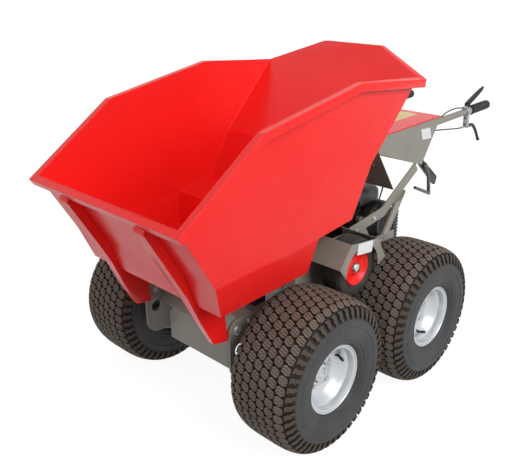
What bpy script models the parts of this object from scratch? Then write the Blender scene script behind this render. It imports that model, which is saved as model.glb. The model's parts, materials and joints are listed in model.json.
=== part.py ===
"""Site dumper: a walk-behind four-wheel mini dumper with a forward-tipping steel skip.

Metres. +Z is up, the skip tips toward -Y, and the machine's left side is +X. Places are
given from the ground under the middle of the wheelbase, and the last lines move the model
so that the origin is under the middle of the whole machine. Like pieces come from loops.
"""

import math

import bmesh
import bpy
from mathutils import Matrix, Vector

# Sheet and fits
SEAT_GAP = 0.0003  # between pieces that touch
RUNNING_GAP = 0.005  # between a piece that moves and what it passes
PIN_GAP = 0.0005  # round a pin or an axle in its bore
SHEET = 0.003  # skip sheet
PLATE = 0.008  # chassis plate
GUARD_SHEET = 0.003

# Ground wheels
WHEELBASE = 0.548
TRACK = 0.764
TYRE_RADIUS = 0.254
TYRE_WIDTH = 0.244
TYRE_WALL = 0.014
BEAD_RADIUS = 0.1016  # bead seat of an 8 inch rim
RIM_FLANGE_RADIUS = 0.1135
RIM_WIDTH = 0.208  # over the flanges
RIM_SHEET = 0.003
WELL_RADIUS = 0.086  # drop centre
WELL_WIDTH = 0.075
DISC_OFFSET = -0.048  # rim disc from the wheel's middle, negative inboard
HUB_BORE_RADIUS = 0.033
HUB_RADIUS = 0.062
AXLE_RADIUS = 0.022
ROUND_STEPS = 28

# Friction drive wheels, which press between the front and the rear tyre
DRIVE_RADIUS = 0.104
DRIVE_WIDTH = 0.082
DRIVE_OUTER_X = 0.354
DRIVE_RIM_RADIUS = 0.061
DRIVE_AXLE_RADIUS = 0.012

# Skip, measured on the outer face of the sheet: (y, z)
SKIP_HALF_WIDTH = 0.335
FLOOR_HALF_WIDTH = 0.310
LIP = (-0.728, 0.826)
RIM_FRONT_KNEE = (-0.448, 1.021)
RIM_REAR_KNEE = (-0.032, 1.100)
RIM_REAR = (0.306, 1.076)
RIM_CROWN_HALF_WIDTH = 0.125
RIM_CROWN_RISE = 0.079
CREASE_FRONT = (-0.611, 0.625)
CREASE_REAR = (-0.186, 0.647)
FLOOR_FRONT = (-0.572, 0.517)
FLOOR_REAR = (-0.205, 0.532)
SHELF_REAR = (-0.022, 0.665)
BACK_BEND = (0.070, 0.832)
RIM_FLANGE = 0.022
RIM_LIP = 0.026

# Tipping pivot
PIVOT = (-0.420, 0.378)
PIVOT_PIN_RADIUS = 0.010
CHANNEL_OUTER_X = 0.205
CHANNEL_TOP_WIDTH = 0.046
CHANNEL_FOOT_WIDTH = 0.026
CHANNEL_DEPTH = 0.030
CHANNEL_SHEET = 0.004

CHANNEL_HEEL = (-0.449, 0.349)
CHANNEL_TOE = (-0.508, 0.360)
CHANNEL_START = 0.17  # share of the front wall above the channel's top
ARM_THICKNESS = 0.008
ARM_RADIUS = 0.026
PIN_HEAD_RADIUS = 0.016

# Chassis
SIDE_PLATE_X = CHANNEL_OUTER_X + 0.0012  # inner face
PLATE_FRONT_Y = -0.452
PLATE_REAR_Y = 0.420
PLATE_BOTTOM_Z = 0.205
EAR_TOP_Z = 0.413
EAR_RADIUS = 0.037
MEMBER_TOP_Z = 0.475
LOBE_TOP_Z = 0.545
LOBE_FRONT_Y = -0.135
LOBE_REAR_Y = 0.225
LIGHTENING_HOLE = (-0.410, 0.307)
LIGHTENING_RADIUS = 0.021
DECK_Z = 0.400
DECK_SHEET = 0.004
DECK_FRONT_Y = -0.330
FRONT_PLATE_HALF_WIDTH = 0.147
FRONT_PLATE_Y = -0.395
FRONT_PLATE_BOTTOM_Z = 0.205
FRONT_PLATE_FOLD_Z = 0.322
FRONT_PLATE_RETURN = 0.020
FRONT_PLATE_CHAMFER = 0.018
REST_X = 0.150
REST_WIDTH = 0.040
REST_FRONT_Y = -0.300
REST_REAR_Y = -0.250

# Guards over the drive wheels: (y, z)
GUARD_X = 0.372
GUARD_FRONT_TOP = (-0.065, 0.601)
GUARD_FRONT_FOOT = (-0.120, 0.527)
GUARD_REAR_TOP = (0.081, 0.583)
GUARD_REAR_FOOT = (0.129, 0.502)
GUARD_ARCH_RADIUS = 0.086
ARCH_SINK = 0.1  # radians that each end of the arch runs on past level
ARCH_STEPS = 14

# Engine: a plain block with its tank, air filter, muffler and recoil starter
ENGINE_X = 0.125  # half width
ENGINE_FRONT_Y = 0.250
ENGINE_REAR_Y = 0.520
ENGINE_TOP_Z = 0.535
TANK_LOW = (-0.110, 0.345)
TANK_HIGH = (0.095, 0.505, 0.612)
FILTER_LOW = (0.010, 0.262)
FILTER_HIGH = (0.118, 0.340, 0.592)
MUFFLER_LOW = (-0.190, 0.290, 0.430)
MUFFLER_HIGH = (-ENGINE_X - SEAT_GAP, 0.470, 0.530)
RECOIL_CENTRE = (0.402, 0.4915)
RECOIL_RADIUS = 0.089
RECOIL_DEPTH = 0.052

# Handle: (y, z)
BAR_THICKNESS = 0.006
BAR_WIDTH = 0.040
BAR_FOOT = (0.150, 0.534)
BAR_BEND = (0.349, 0.562)
BAR_TOP = (0.560, 0.696)
BRACE_RADIUS = 0.014
BRACE_X = SIDE_PLATE_X + PLATE / 2
BRACE_FOOT_Y = 0.360
BRACE_RUN = 0.105  # along the bar's rise, from its bend to the brace
CONSOLE_SHEET = 0.003
CONSOLE_FRONT = (0.255, 0.853)
CONSOLE_NOSE = (0.296, 0.793)
CONSOLE_FRONT_FOOT = (0.402, 0.637)
CONSOLE_REAR_FOOT = (0.590, 0.696)
CONSOLE_REAR_TOP = (0.702, 0.866)
LID_THICKNESS = 0.004
LID_OVERHANG = 0.001
LID_CLEAR = 0.65  # of a sheet, which the shell's mitred top edges stand up
HANDLEBAR_X = 0.190
HANDLEBAR_RADIUS = 0.013
HANDLEBAR_START_Z = 0.842
HANDLEBAR_END_Y = 1.115
HANDLEBAR_END_Z = 0.856
GRIP_RADIUS = 0.0200
GRIP_LENGTH = 0.150
CLAMP_Y = 0.945
CLAMP_RADIUS = 0.018
CLAMP_LENGTH = 0.030

# Hand levers, latch paddle: (y, z)
LEVER_STAND = 0.010  # rise off the clamp before it bends back
LEVER_TIP = (1.069, 0.936)
LEVER_THICKNESS = 0.005
LEVER_WIDTH = 0.022
BRACKET_WIDTH = 0.016  # across X
BRACKET_TOP_FRONT = 0.935
BRACKET_TOP_REAR = 0.958
BRACKET_FOOT = 0.780
BRACKET_SET_BACK = 0.006  # of its foot, behind its top
BRAKE_Z = 0.786
BRAKE_PATH = ((1.010, 0.783), (1.040, 0.757), (1.078, 0.705))
BRAKE_WIDTH = 0.012
BRAKE_THICKNESS = 0.010
PADDLE_X = 0.180
PADDLE_ROOT = (0.004, 0.030)  # up the console's rear wall from its foot
PADDLE_TIP = ((0.762, 0.608), (0.748, 0.573))
PADDLE_THICKNESS = 0.014

GREY = (0.30, 0.295, 0.265)
RED = (0.80, 0.028, 0.020)
BLACK = (0.012, 0.012, 0.012)
SILVER = (0.62, 0.63, 0.65)
RUBBER = (0.030, 0.027, 0.025)

SIDES = (("left", 1), ("right", -1))

for old in list(bpy.data.objects):
    bpy.data.objects.remove(old)

parts = bpy.data.collections.new("site_dumper")
cutters = bpy.data.collections.new("cutters")
bpy.context.scene.collection.children.link(parts)
bpy.context.scene.collection.children.link(cutters)


def material(name, color, roughness, metallic):
    """A Principled material of one colour."""
    made = bpy.data.materials.get(name)
    if made is None:
        made = bpy.data.materials.new(name)
        made.use_nodes = True
        shader = made.node_tree.nodes["Principled BSDF"]
        shader.inputs["Base Color"].default_value = (*color, 1)
        shader.inputs["Roughness"].default_value = roughness
        shader.inputs["Metallic"].default_value = metallic
    return made


grey_paint = material("grey_paint", GREY, 0.45, 0.1)
red_paint = material("red_paint", RED, 0.35, 0.0)
black_plastic = material("black_plastic", BLACK, 0.5, 0.0)
bright_steel = material("bright_steel", SILVER, 0.3, 0.9)
silver_paint = material("silver_paint", SILVER, 0.35, 0.6)
tyre_rubber = material("tyre_rubber", RUBBER, 0.8, 0.0)


def place(name, data, mat, location=(0, 0, 0), rotation=(0, 0, 0), parent=None):
    """Link an object of this data into the part's collection."""
    made = bpy.data.objects.new(name, data)
    parts.objects.link(made)
    made.location = location
    made.rotation_euler = rotation
    if parent:
        made.parent = parent
    if mat and not data.materials:
        data.materials.append(mat)
    return made


def pivot_empty(name, location):
    made = bpy.data.objects.new(name, None)
    parts.objects.link(made)
    made.location = location
    return made


def smooth(mesh, angle=35):
    mesh.shade_smooth()
    mesh.set_sharp_from_angle(angle=math.radians(angle))


def box(name, low, high, mat, bevel=0.0, parent=None):
    """A box between two corners, its edges rounded by bevel."""
    mesh = bpy.data.meshes.new(name)
    bm = bmesh.new()
    bmesh.ops.create_cube(bm, size=1)
    size = [b - a for a, b in zip(low, high)]
    middle = [(a + b) / 2 for a, b in zip(low, high)]
    bmesh.ops.scale(bm, vec=size, verts=bm.verts)
    bm.to_mesh(mesh)
    bm.free()
    made = place(name, mesh, mat, middle, parent=parent)
    if bevel:
        edge = made.modifiers.new("Bevel", "BEVEL")
        edge.width = bevel
        edge.segments = 2
        edge.limit_method = "ANGLE"
    return made


def turned(name, profile, mat, location, side=1, closed=False, steps=ROUND_STEPS, parent=None):
    """Turn (radius, along) points about X. along runs outboard, so it flips with the side.

    An open profile starts and ends on the axis, a closed one is a ring's section, and
    both run down the outer side from the outboard end.
    """
    mesh = bpy.data.meshes.new(name)
    count = len(profile)
    edges = [(i, i + 1) for i in range(count - 1)]
    if closed:
        edges.append((count - 1, 0))
    mesh.from_pydata([(radius, 0, along) for radius, along in profile], edges, [])
    made = place(name, mesh, mat, location, (0, side * math.pi / 2, 0), parent)
    screw = made.modifiers.new("Screw", "SCREW")
    screw.steps = screw.render_steps = steps
    screw.use_merge_vertices = True
    screw.merge_threshold = 1e-5
    screw.use_smooth_shade = True
    return made


def tube(name, points, radius, mat, resolution=2, parent=None):
    """A round bar along points, with flat ends."""
    curve = bpy.data.curves.new(name, "CURVE")
    curve.dimensions = "3D"
    curve.bevel_depth = radius
    curve.bevel_resolution = resolution
    curve.use_fill_caps = True
    spline = curve.splines.new("POLY")
    spline.points.add(len(points) - 1)
    for place_, point in zip(spline.points, points):
        place_.co = (*point, 1)
    return place(name, curve, mat, parent=parent)


def rounded(corners, steps=5):
    """An outline whose corners (a, b, radius) are arcs of that radius."""
    outline = []
    count = len(corners)
    for i, (a, b, radius) in enumerate(corners):
        here = Vector((a, b))
        before = (Vector(corners[i - 1][:2]) - here).normalized()
        after = (Vector(corners[(i + 1) % count][:2]) - here).normalized()
        if radius <= 0:
            outline.append(here)
            continue
        half = before.angle(after) / 2
        reach = radius / math.tan(half)
        centre = here + (before + after).normalized() * radius / math.sin(half)
        start = here + before * reach - centre
        end = here + after * reach - centre
        sweep = start.angle_signed(end)
        for k in range(steps + 1):
            turn = -sweep * k / steps
            outline.append(centre + Vector((
                start.x * math.cos(turn) - start.y * math.sin(turn),
                start.x * math.sin(turn) + start.y * math.cos(turn))))
    return outline


def circle(a, b, radius, steps=16):
    return [Vector((a + radius * math.cos(2 * math.pi * k / steps),
                    b + radius * math.sin(2 * math.pi * k / steps))) for k in range(steps)]


def plate(name, outline, thickness, mat, location, rotation, holes=(), parent=None):
    """A flat outline with holes, thickness thick about its own plane."""
    curve = bpy.data.curves.new(name, "CURVE")
    curve.dimensions = "2D"
    curve.fill_mode = "BOTH"
    curve.extrude = thickness / 2
    for loop in (outline, *holes):
        spline = curve.splines.new("POLY")
        spline.use_cyclic_u = True
        spline.points.add(len(loop) - 1)
        for place_, point in zip(spline.points, loop):
            place_.co = (point[0], point[1], 0, 1)
    return place(name, curve, mat, location, rotation, parent)


ACROSS = (math.pi / 2, 0, math.pi / 2)  # outline (y, z), thick along X
FACING = (math.pi / 2, 0, 0)  # outline (x, z), thick along Y


def side_plate(name, outline, inner_x, thickness, sign, mat, holes=(), parent=None):
    """A plate in the YZ plane whose inner face is inner_x from the mid-plane."""
    return plate(name, outline, thickness, mat, (sign * (inner_x + thickness / 2), 0, 0),
                 ACROSS, holes, parent)


def sheet(name, points, faces, thickness, mat, sign=1, offset=-1, parent=None):
    """Folded sheet: faces through points, thickened on one side. sign -1 mirrors it in X."""
    mesh = bpy.data.meshes.new(name)
    mesh.from_pydata([(sign * x, y, z) for x, y, z in points], [],
                     [face if sign > 0 else face[::-1] for face in faces])
    made = place(name, mesh, mat, parent=parent)
    shell = made.modifiers.new("Solidify", "SOLIDIFY")
    shell.thickness = thickness
    shell.offset = offset
    shell.use_even_offset = True
    shell.use_quality_normals = True
    return made


def loft(name, rings, mat, closed_path=False, parent=None):
    """A solid through rings of equally many points, capped unless the path closes."""
    mesh = bpy.data.meshes.new(name)
    bm = bmesh.new()
    rows = [[bm.verts.new(point) for point in ring] for ring in rings]
    count = len(rings[0])
    pairs = list(zip(rows, rows[1:])) + ([(rows[-1], rows[0])] if closed_path else [])
    for row, following in pairs:
        for k in range(count):
            bm.faces.new((row[k], row[(k + 1) % count], following[(k + 1) % count], following[k]))
    if not closed_path:
        bm.faces.new(rows[0][::-1])
        bm.faces.new(rows[-1])
    bmesh.ops.recalc_face_normals(bm, faces=bm.faces)
    bm.to_mesh(mesh)
    bm.free()
    return place(name, mesh, mat, parent=parent)


# Skip: a folded tub, open at the top, its rim folded out and down

skip_pivot = pivot_empty("skip_pivot", (0, *PIVOT))


def in_skip(made):
    """Hang a piece modelled in world coordinates on the skip's pivot."""
    made.parent = skip_pivot
    made.matrix_parent_inverse.translation = (0, -PIVOT[0], -PIVOT[1])
    return made


def make_skip():
    back_slope = (RIM_REAR[0] - BACK_BEND[0]) / (RIM_REAR[1] - BACK_BEND[1])
    crown = (RIM_REAR[0] + back_slope * RIM_CROWN_RISE, RIM_REAR[1] + RIM_CROWN_RISE)
    side = {"lip": LIP, "front_knee": RIM_FRONT_KNEE, "rear_knee": RIM_REAR_KNEE,
            "rear": RIM_REAR, "bend": BACK_BEND, "shelf": SHELF_REAR,
            "crease_rear": CREASE_REAR, "crease_front": CREASE_FRONT}
    low = {"floor_front": FLOOR_FRONT, "floor_rear": FLOOR_REAR}
    points, index = [], {}
    for sign in (1, -1):
        for half, table in ((SKIP_HALF_WIDTH, side), (FLOOR_HALF_WIDTH, low),
                            (RIM_CROWN_HALF_WIDTH, {"crown": crown})):
            for key, (y, z) in table.items():
                index[key, sign] = len(points)
                points.append((sign * half, y, z))
    web = ("lip", "crease_front", "floor_front", "floor_rear", "crease_rear", "shelf", "bend")
    faces = []
    for first, second in zip(web, web[1:]):
        faces.append([index[first, 1], index[first, -1], index[second, -1], index[second, 1]])
    faces.append([index["bend", 1], index["bend", -1], index["rear", -1],
                  index["crown", -1], index["crown", 1], index["rear", 1]])
    for sign in (1, -1):
        wall = [index[key, sign] for key in side]
        skirt = [index[key, sign] for key in
                 ("crease_front", "crease_rear", "floor_rear", "floor_front")]
        faces += [wall if sign < 0 else wall[::-1], skirt if sign < 0 else skirt[::-1]]
    tub = in_skip(sheet("skip_tub", points, faces, SHEET, red_paint))

    # The rim's section: out from the sheet's top edge, then down
    section = ((SEAT_GAP, -SHEET), (SEAT_GAP, 0), (RIM_FLANGE, 0), (RIM_FLANGE, -RIM_LIP),
               (RIM_FLANGE - SHEET, -RIM_LIP), (RIM_FLANGE - SHEET, -SHEET))
    loop = [(SKIP_HALF_WIDTH, *LIP), (SKIP_HALF_WIDTH, *RIM_FRONT_KNEE),
            (SKIP_HALF_WIDTH, *RIM_REAR_KNEE), (SKIP_HALF_WIDTH, *RIM_REAR),
            (RIM_CROWN_HALF_WIDTH, *crown)]
    loop = [Vector(p) for p in loop + [(-x, y, z) for x, y, z in loop[::-1]]]
    count = len(loop)
    along = [(loop[(i + 1) % count] - loop[i]).normalized() for i in range(count)]
    outward = []
    for i in range(count):
        if i < 3:
            out = Vector((1, 0, 0))
        elif i < 6:
            out = Vector((0, 1, 0))
        elif i < 9:
            out = Vector((-1, 0, 0))
        else:
            out = -along[0]  # the front flange carries on the side flanges' slope
        outward.append((out - out.dot(along[i]) * along[i]).normalized())
    upward = [o.cross(a) if o.cross(a).z > 0 else a.cross(o) for o, a in zip(outward, along)]
    rings = []
    for i in range(count):
        outs, ups = (outward[i - 1], outward[i]), (upward[i - 1], upward[i])
        turns_out = outs[0].angle(outs[1]) > ups[0].angle(ups[1])
        ring = []
        for out, up in section:
            # Each corner lies on three planes: two of the faces that turn, one between the others
            if turns_out:
                planes = ((outs[0], out), (outs[1], out), ((ups[0] + ups[1]).normalized(), up))
            else:
                planes = ((ups[0], up), (ups[1], up), ((outs[0] + outs[1]).normalized(), out))
            rows = Matrix([normal for normal, distance in planes])
            ring.append(loop[i] + rows.inverted() @ Vector([distance for normal, distance in planes]))
        rings.append(ring)
    in_skip(loft("skip_rim", rings, red_paint, closed_path=True))
    return tub


make_skip()


def strip(name, stations, thickness, mat, sign=1, offset=-1, parent=None):
    """Folded sheet through stations, each a row of equally many points."""
    width = len(stations[0])
    points = [point for row in stations for point in row]
    faces = [[r * width + k, r * width + k + 1, (r + 1) * width + k + 1, (r + 1) * width + k]
             for r in range(len(stations) - 1) for k in range(width - 1)]
    return sheet(name, points, faces, thickness, mat, sign, offset, parent)


def cut_tube(name, start, end, radius, start_normal, end_normal, mat, steps=16, parent=None):
    """A straight round bar whose ends lie in planes of the given normals."""
    start, end = Vector(start), Vector(end)
    axis = (end - start).normalized()
    across = axis.orthogonal().normalized()
    other = axis.cross(across)
    rings = []
    for point, normal in ((start, Vector(start_normal)), (end, Vector(end_normal))):
        ring = []
        for k in range(steps):
            turn = 2 * math.pi * k / steps
            offset = across * radius * math.cos(turn) + other * radius * math.sin(turn)
            ring.append(point + offset - axis * (offset.dot(normal) / axis.dot(normal)))
        rings.append(ring)
    made = loft(name, rings, mat, parent=parent)
    smooth(made.data)
    return made


def ribbon(path, width):
    """The outline of a flat bar of this width along a path of (a, b) points."""
    path = [Vector(point) for point in path]
    along = [(b - a).normalized() for a, b in zip(path, path[1:])]
    left, right = [], []
    for i, point in enumerate(path):
        before, after = along[max(i - 1, 0)], along[min(i, len(along) - 1)]
        mitre = (before + after).normalized()
        side = Vector((-mitre.y, mitre.x))
        reach = width / 2 / side.dot(Vector((-after.y, after.x)))
        left.append(point + side * reach)
        right.append(point - side * reach)
    return left + right[::-1]


# Channels down the front wall, with the arms that hang the skip on its pivot

WALL_OUT = Vector(((Vector(CREASE_FRONT) - Vector(LIP)).y,
                   -(Vector(CREASE_FRONT) - Vector(LIP)).x)).normalized()

for side, sign in SIDES:
    face = WALL_OUT * SEAT_GAP
    top = Vector(LIP).lerp(Vector(CREASE_FRONT), CHANNEL_START)
    knee = Vector(CREASE_FRONT)
    heel = [top + face, knee + face, Vector(FLOOR_FRONT) + Vector((-0.0006, -0.0012)),
            Vector((CHANNEL_HEEL[0] - 0.020, 0.500)), Vector(CHANNEL_HEEL)]
    front = [top + WALL_OUT * CHANNEL_DEPTH, knee + WALL_OUT * CHANNEL_DEPTH,
             Vector((-0.600, 0.545)), Vector((-0.556, 0.450)), Vector(CHANNEL_TOE)]
    inner = [CHANNEL_OUTER_X - width for width in
             (CHANNEL_TOP_WIDTH, CHANNEL_TOP_WIDTH, CHANNEL_TOP_WIDTH - 0.006,
              CHANNEL_FOOT_WIDTH + 0.006, CHANNEL_FOOT_WIDTH)]
    rows = [((CHANNEL_OUTER_X, *h), (CHANNEL_OUTER_X, *f), (x, *f), (x, *h))
            for h, f, x in zip(heel, front, inner)]
    in_skip(strip("skip_channel_" + side, rows, CHANNEL_SHEET, red_paint, sign, offset=-1))
    arm_outline = rounded([(-0.500, 0.480, 0.004), (-0.530, 0.455, 0.010), (-0.492, 0.362, 0.006),
                           (PIVOT[0] + 0.010, PIVOT[1] - ARM_RADIUS, 0.018),
                           (PIVOT[0] + ARM_RADIUS, PIVOT[1] + 0.012, 0.018),
                           (-0.460, 0.470, 0.020)])
    arm_x = CHANNEL_OUTER_X - CHANNEL_SHEET - SEAT_GAP - ARM_THICKNESS
    in_skip(side_plate("skip_hinge_arm_" + side, arm_outline, arm_x, ARM_THICKNESS, sign, grey_paint,
                       [circle(*PIVOT, PIVOT_PIN_RADIUS + PIN_GAP)]))
    pin_end = SIDE_PLATE_X + PLATE + 0.007
    turned("pivot_pin_" + side,
           [(0, pin_end), (PIN_HEAD_RADIUS - 0.003, pin_end), (PIN_HEAD_RADIUS, pin_end - 0.003),
            (PIN_HEAD_RADIUS, SIDE_PLATE_X + PLATE + SEAT_GAP),
            (PIVOT_PIN_RADIUS, SIDE_PLATE_X + PLATE + SEAT_GAP),
            (PIVOT_PIN_RADIUS, arm_x - 0.003), (0, arm_x - 0.003)],
           bright_steel, (0, *PIVOT), sign, steps=16)

# Ground wheels: tyre, rim and hub on each axle end

HALF_TYRE = TYRE_WIDTH / 2
HALF_RIM = RIM_WIDTH / 2


def tyre_section():
    """Outer side from the outboard bead over the tread, then back inside the carcass."""
    flange = HALF_RIM - 0.004 - SEAT_GAP
    crown = [(BEAD_RADIUS + SEAT_GAP, HALF_RIM - 0.006 - SEAT_GAP), (RIM_FLANGE_RADIUS + SEAT_GAP, flange),
             (RIM_FLANGE_RADIUS + 0.003, flange + 0.003), (0.135, HALF_TYRE - 0.006), (0.165, HALF_TYRE),
             (0.200, HALF_TYRE - 0.002), (0.228, HALF_TYRE - 0.010), (0.246, HALF_TYRE - 0.028), (TYRE_RADIUS, HALF_TYRE - 0.060)]
    outer = [(r, -a) for r, a in crown]
    cavity = [(BEAD_RADIUS + SEAT_GAP, HALF_RIM - 0.028), (0.165, HALF_TYRE - TYRE_WALL),
              (0.218, HALF_TYRE - TYRE_WALL - 0.014), (TYRE_RADIUS - TYRE_WALL - 0.006, HALF_TYRE - 0.060)]
    return ([(r, a) for r, a in crown] + outer[::-1] + [(r, -a) for r, a in cavity]
            + [(r, a) for r, a in cavity[::-1]])


def rim_section():
    """A drop-centre rim and its disc as one turned sheet, from the outboard flange."""
    well = WELL_WIDTH / 2
    bead = BEAD_RADIUS
    outer = [(RIM_FLANGE_RADIUS, HALF_RIM), (RIM_FLANGE_RADIUS, HALF_RIM - 0.004),
             (bead, HALF_RIM - 0.006), (bead, well + 0.018), (WELL_RADIUS, well),
             (WELL_RADIUS, -well), (bead, -well - 0.018), (bead, -HALF_RIM + 0.006),
             (RIM_FLANGE_RADIUS, -HALF_RIM + 0.004), (RIM_FLANGE_RADIUS, -HALF_RIM)]
    t = RIM_SHEET
    inner = [(bead - t, -HALF_RIM), (bead - t, -well - 0.018 - t), (WELL_RADIUS - t, -well - t)]
    disc = [(HUB_BORE_RADIUS + PIN_GAP, DISC_OFFSET - 0.004), (HUB_BORE_RADIUS + PIN_GAP, DISC_OFFSET + 0.001),
            (WELL_RADIUS - t, DISC_OFFSET + 0.007)]
    rest = [(WELL_RADIUS - t, well + t), (bead - t, well + 0.018 + t), (bead - t, HALF_RIM)]
    return outer + inner + disc + rest


for end, axle_y in (("front", -WHEELBASE / 2), ("rear", WHEELBASE / 2)):
    for side, sign in SIDES:
        centre = (sign * TRACK / 2, axle_y, TYRE_RADIUS)
        tag = end + "_" + side
        axle = pivot_empty("wheel_" + tag, centre)
        turned("tyre_" + tag, tyre_section(), tyre_rubber, (0, 0, 0), sign, True, parent=axle)
        turned("rim_" + tag, rim_section(), silver_paint, (0, 0, 0), sign, True, parent=axle)
        flange = DISC_OFFSET - 0.004 - SEAT_GAP
        inboard = SIDE_PLATE_X + PLATE + RUNNING_GAP - TRACK / 2
        nose = DISC_OFFSET + 0.030
        turned("hub_" + tag,
               [(0, nose), (0.018, nose), (0.024, nose - 0.006), (HUB_BORE_RADIUS - 0.003, nose - 0.016),
                (HUB_BORE_RADIUS, flange), (HUB_RADIUS, flange), (HUB_RADIUS, flange - 0.010),
                (0.036, flange - 0.012), (0.036, inboard), (AXLE_RADIUS + PIN_GAP, inboard),
                (AXLE_RADIUS + PIN_GAP, flange), (0, flange)],
               silver_paint, (0, 0, 0), sign, steps=16, parent=axle)

# Friction drive wheels, high in the gap between the tyres

REACH = TYRE_RADIUS + DRIVE_RADIUS + RUNNING_GAP
DRIVE_Z = TYRE_RADIUS + math.sqrt(REACH ** 2 - (WHEELBASE / 2) ** 2)
DRIVE_MIDDLE_X = DRIVE_OUTER_X - DRIVE_WIDTH / 2

for side, sign in SIDES:
    axle = pivot_empty("drive_wheel_" + side, (sign * DRIVE_MIDDLE_X, 0, DRIVE_Z))
    half = DRIVE_WIDTH / 2
    rim = DRIVE_RIM_RADIUS
    turned("drive_tyre_" + side,
           [(rim + SEAT_GAP, half - 0.006), (rim + 0.018, half), (DRIVE_RADIUS - 0.014, half - 0.001),
            (DRIVE_RADIUS - 0.002, half - 0.012), (DRIVE_RADIUS, half - 0.024),
            (DRIVE_RADIUS, -half + 0.024), (DRIVE_RADIUS - 0.002, -half + 0.012),
            (DRIVE_RADIUS - 0.014, -half + 0.001), (rim + 0.018, -half), (rim + SEAT_GAP, -half + 0.006)],
           tyre_rubber, (0, 0, 0), sign, True, 24, axle)
    bore = DRIVE_AXLE_RADIUS + PIN_GAP
    turned("drive_rim_" + side,
           [(0, half + 0.004), (0.008, half + 0.002), (0.014, half - 0.006), (0.017, half - 0.016),
            (rim - 0.008, half - 0.020), (rim - 0.004, half - 0.004), (rim, half - 0.004),
            (rim, -half + 0.004), (rim - 0.004, -half + 0.004), (rim - 0.004, half - 0.034),
            (0.022, half - 0.030), (0.022, -half + 0.010), (bore, -half + 0.010),
            (bore, half - 0.024), (0, half - 0.024)],
           red_paint, (0, 0, 0), sign, steps=24, parent=axle)

# Chassis: two side plates tied by axles, deck, front plate and rests

AXLE_HOLE = AXLE_RADIUS + PIN_GAP

side_outline = rounded([
    (PLATE_FRONT_Y, PLATE_BOTTOM_Z, 0.050), (PLATE_REAR_Y, PLATE_BOTTOM_Z, 0.020),
    (PLATE_REAR_Y, MEMBER_TOP_Z, 0.004), (LOBE_REAR_Y + 0.045, MEMBER_TOP_Z, 0.030),
    (LOBE_REAR_Y, LOBE_TOP_Z, 0.020), (LOBE_FRONT_Y, LOBE_TOP_Z, 0.030),
    (LOBE_FRONT_Y - 0.030, EAR_TOP_Z, 0.030), (PLATE_FRONT_Y, EAR_TOP_Z, EAR_RADIUS)])
for side, sign in SIDES:
    holes = [circle(-WHEELBASE / 2, TYRE_RADIUS, AXLE_HOLE), circle(WHEELBASE / 2, TYRE_RADIUS, AXLE_HOLE),
             circle(*PIVOT, PIVOT_PIN_RADIUS + PIN_GAP), circle(0, DRIVE_Z, DRIVE_AXLE_RADIUS + PIN_GAP),
             circle(*LIGHTENING_HOLE, LIGHTENING_RADIUS)]
    side_plate("chassis_side_plate_" + side, side_outline, SIDE_PLATE_X, PLATE, sign, grey_paint, holes)

for end, axle_y in (("front", -WHEELBASE / 2), ("rear", WHEELBASE / 2)):
    reach = TRACK / 2 + DISC_OFFSET - 0.004 - SEAT_GAP - 0.002
    turned("axle_" + end, [(0, reach), (AXLE_RADIUS - 0.002, reach), (AXLE_RADIUS, reach - 0.002),
                           (AXLE_RADIUS, -reach + 0.002), (AXLE_RADIUS - 0.002, -reach), (0, -reach)],
           bright_steel, (0, axle_y, TYRE_RADIUS), steps=16)

drive_reach = DRIVE_OUTER_X - 0.024 - 0.002
turned("drive_axle", [(0, drive_reach), (DRIVE_AXLE_RADIUS, drive_reach),
                      (DRIVE_AXLE_RADIUS, -drive_reach), (0, -drive_reach)],
       bright_steel, (0, 0, DRIVE_Z), steps=16)

INSIDE_X = SIDE_PLATE_X - SEAT_GAP
box("chassis_deck", (-INSIDE_X, DECK_FRONT_Y, DECK_Z - DECK_SHEET), (INSIDE_X, PLATE_REAR_Y, DECK_Z), grey_paint)

wide, narrow = INSIDE_X, FRONT_PLATE_HALF_WIDTH
chamfer_z = FRONT_PLATE_FOLD_Z - FRONT_PLATE_CHAMFER
front_points = []
for x_sign in (1, -1):
    front_points += [(x_sign * narrow, FRONT_PLATE_Y + FRONT_PLATE_RETURN, FRONT_PLATE_BOTTOM_Z),
                     (x_sign * narrow, FRONT_PLATE_Y, FRONT_PLATE_BOTTOM_Z),
                     (x_sign * narrow, FRONT_PLATE_Y, chamfer_z),
                     (x_sign * (narrow - FRONT_PLATE_CHAMFER), FRONT_PLATE_Y, FRONT_PLATE_FOLD_Z),
                     (x_sign * wide, FRONT_PLATE_Y, FRONT_PLATE_FOLD_Z),
                     (x_sign * wide, DECK_FRONT_Y - SEAT_GAP, DECK_Z)]
front_faces = [[0, 1, 7, 6], [1, 2, 3, 9, 8, 7], [4, 5, 11, 10, 9, 3]]
sheet("chassis_front_plate", front_points, front_faces, DECK_SHEET, grey_paint, 1, offset=1)


def floor_z(y):
    """Height of the skip floor's underside at this y, with the skip down."""
    share = (y - FLOOR_FRONT[0]) / (FLOOR_REAR[0] - FLOOR_FRONT[0])
    return FLOOR_FRONT[1] + share * (FLOOR_REAR[1] - FLOOR_FRONT[1])


rest_outline = [(REST_FRONT_Y, DECK_Z + SEAT_GAP), (REST_REAR_Y, DECK_Z + SEAT_GAP),
                (REST_REAR_Y, floor_z(REST_REAR_Y) - SEAT_GAP), (REST_FRONT_Y, floor_z(REST_FRONT_Y) - SEAT_GAP)]
for side, sign in SIDES:
    side_plate("skip_rest_" + side, rest_outline, REST_X - REST_WIDTH / 2, REST_WIDTH, sign, black_plastic)

# Guards over the drive wheels

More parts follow.
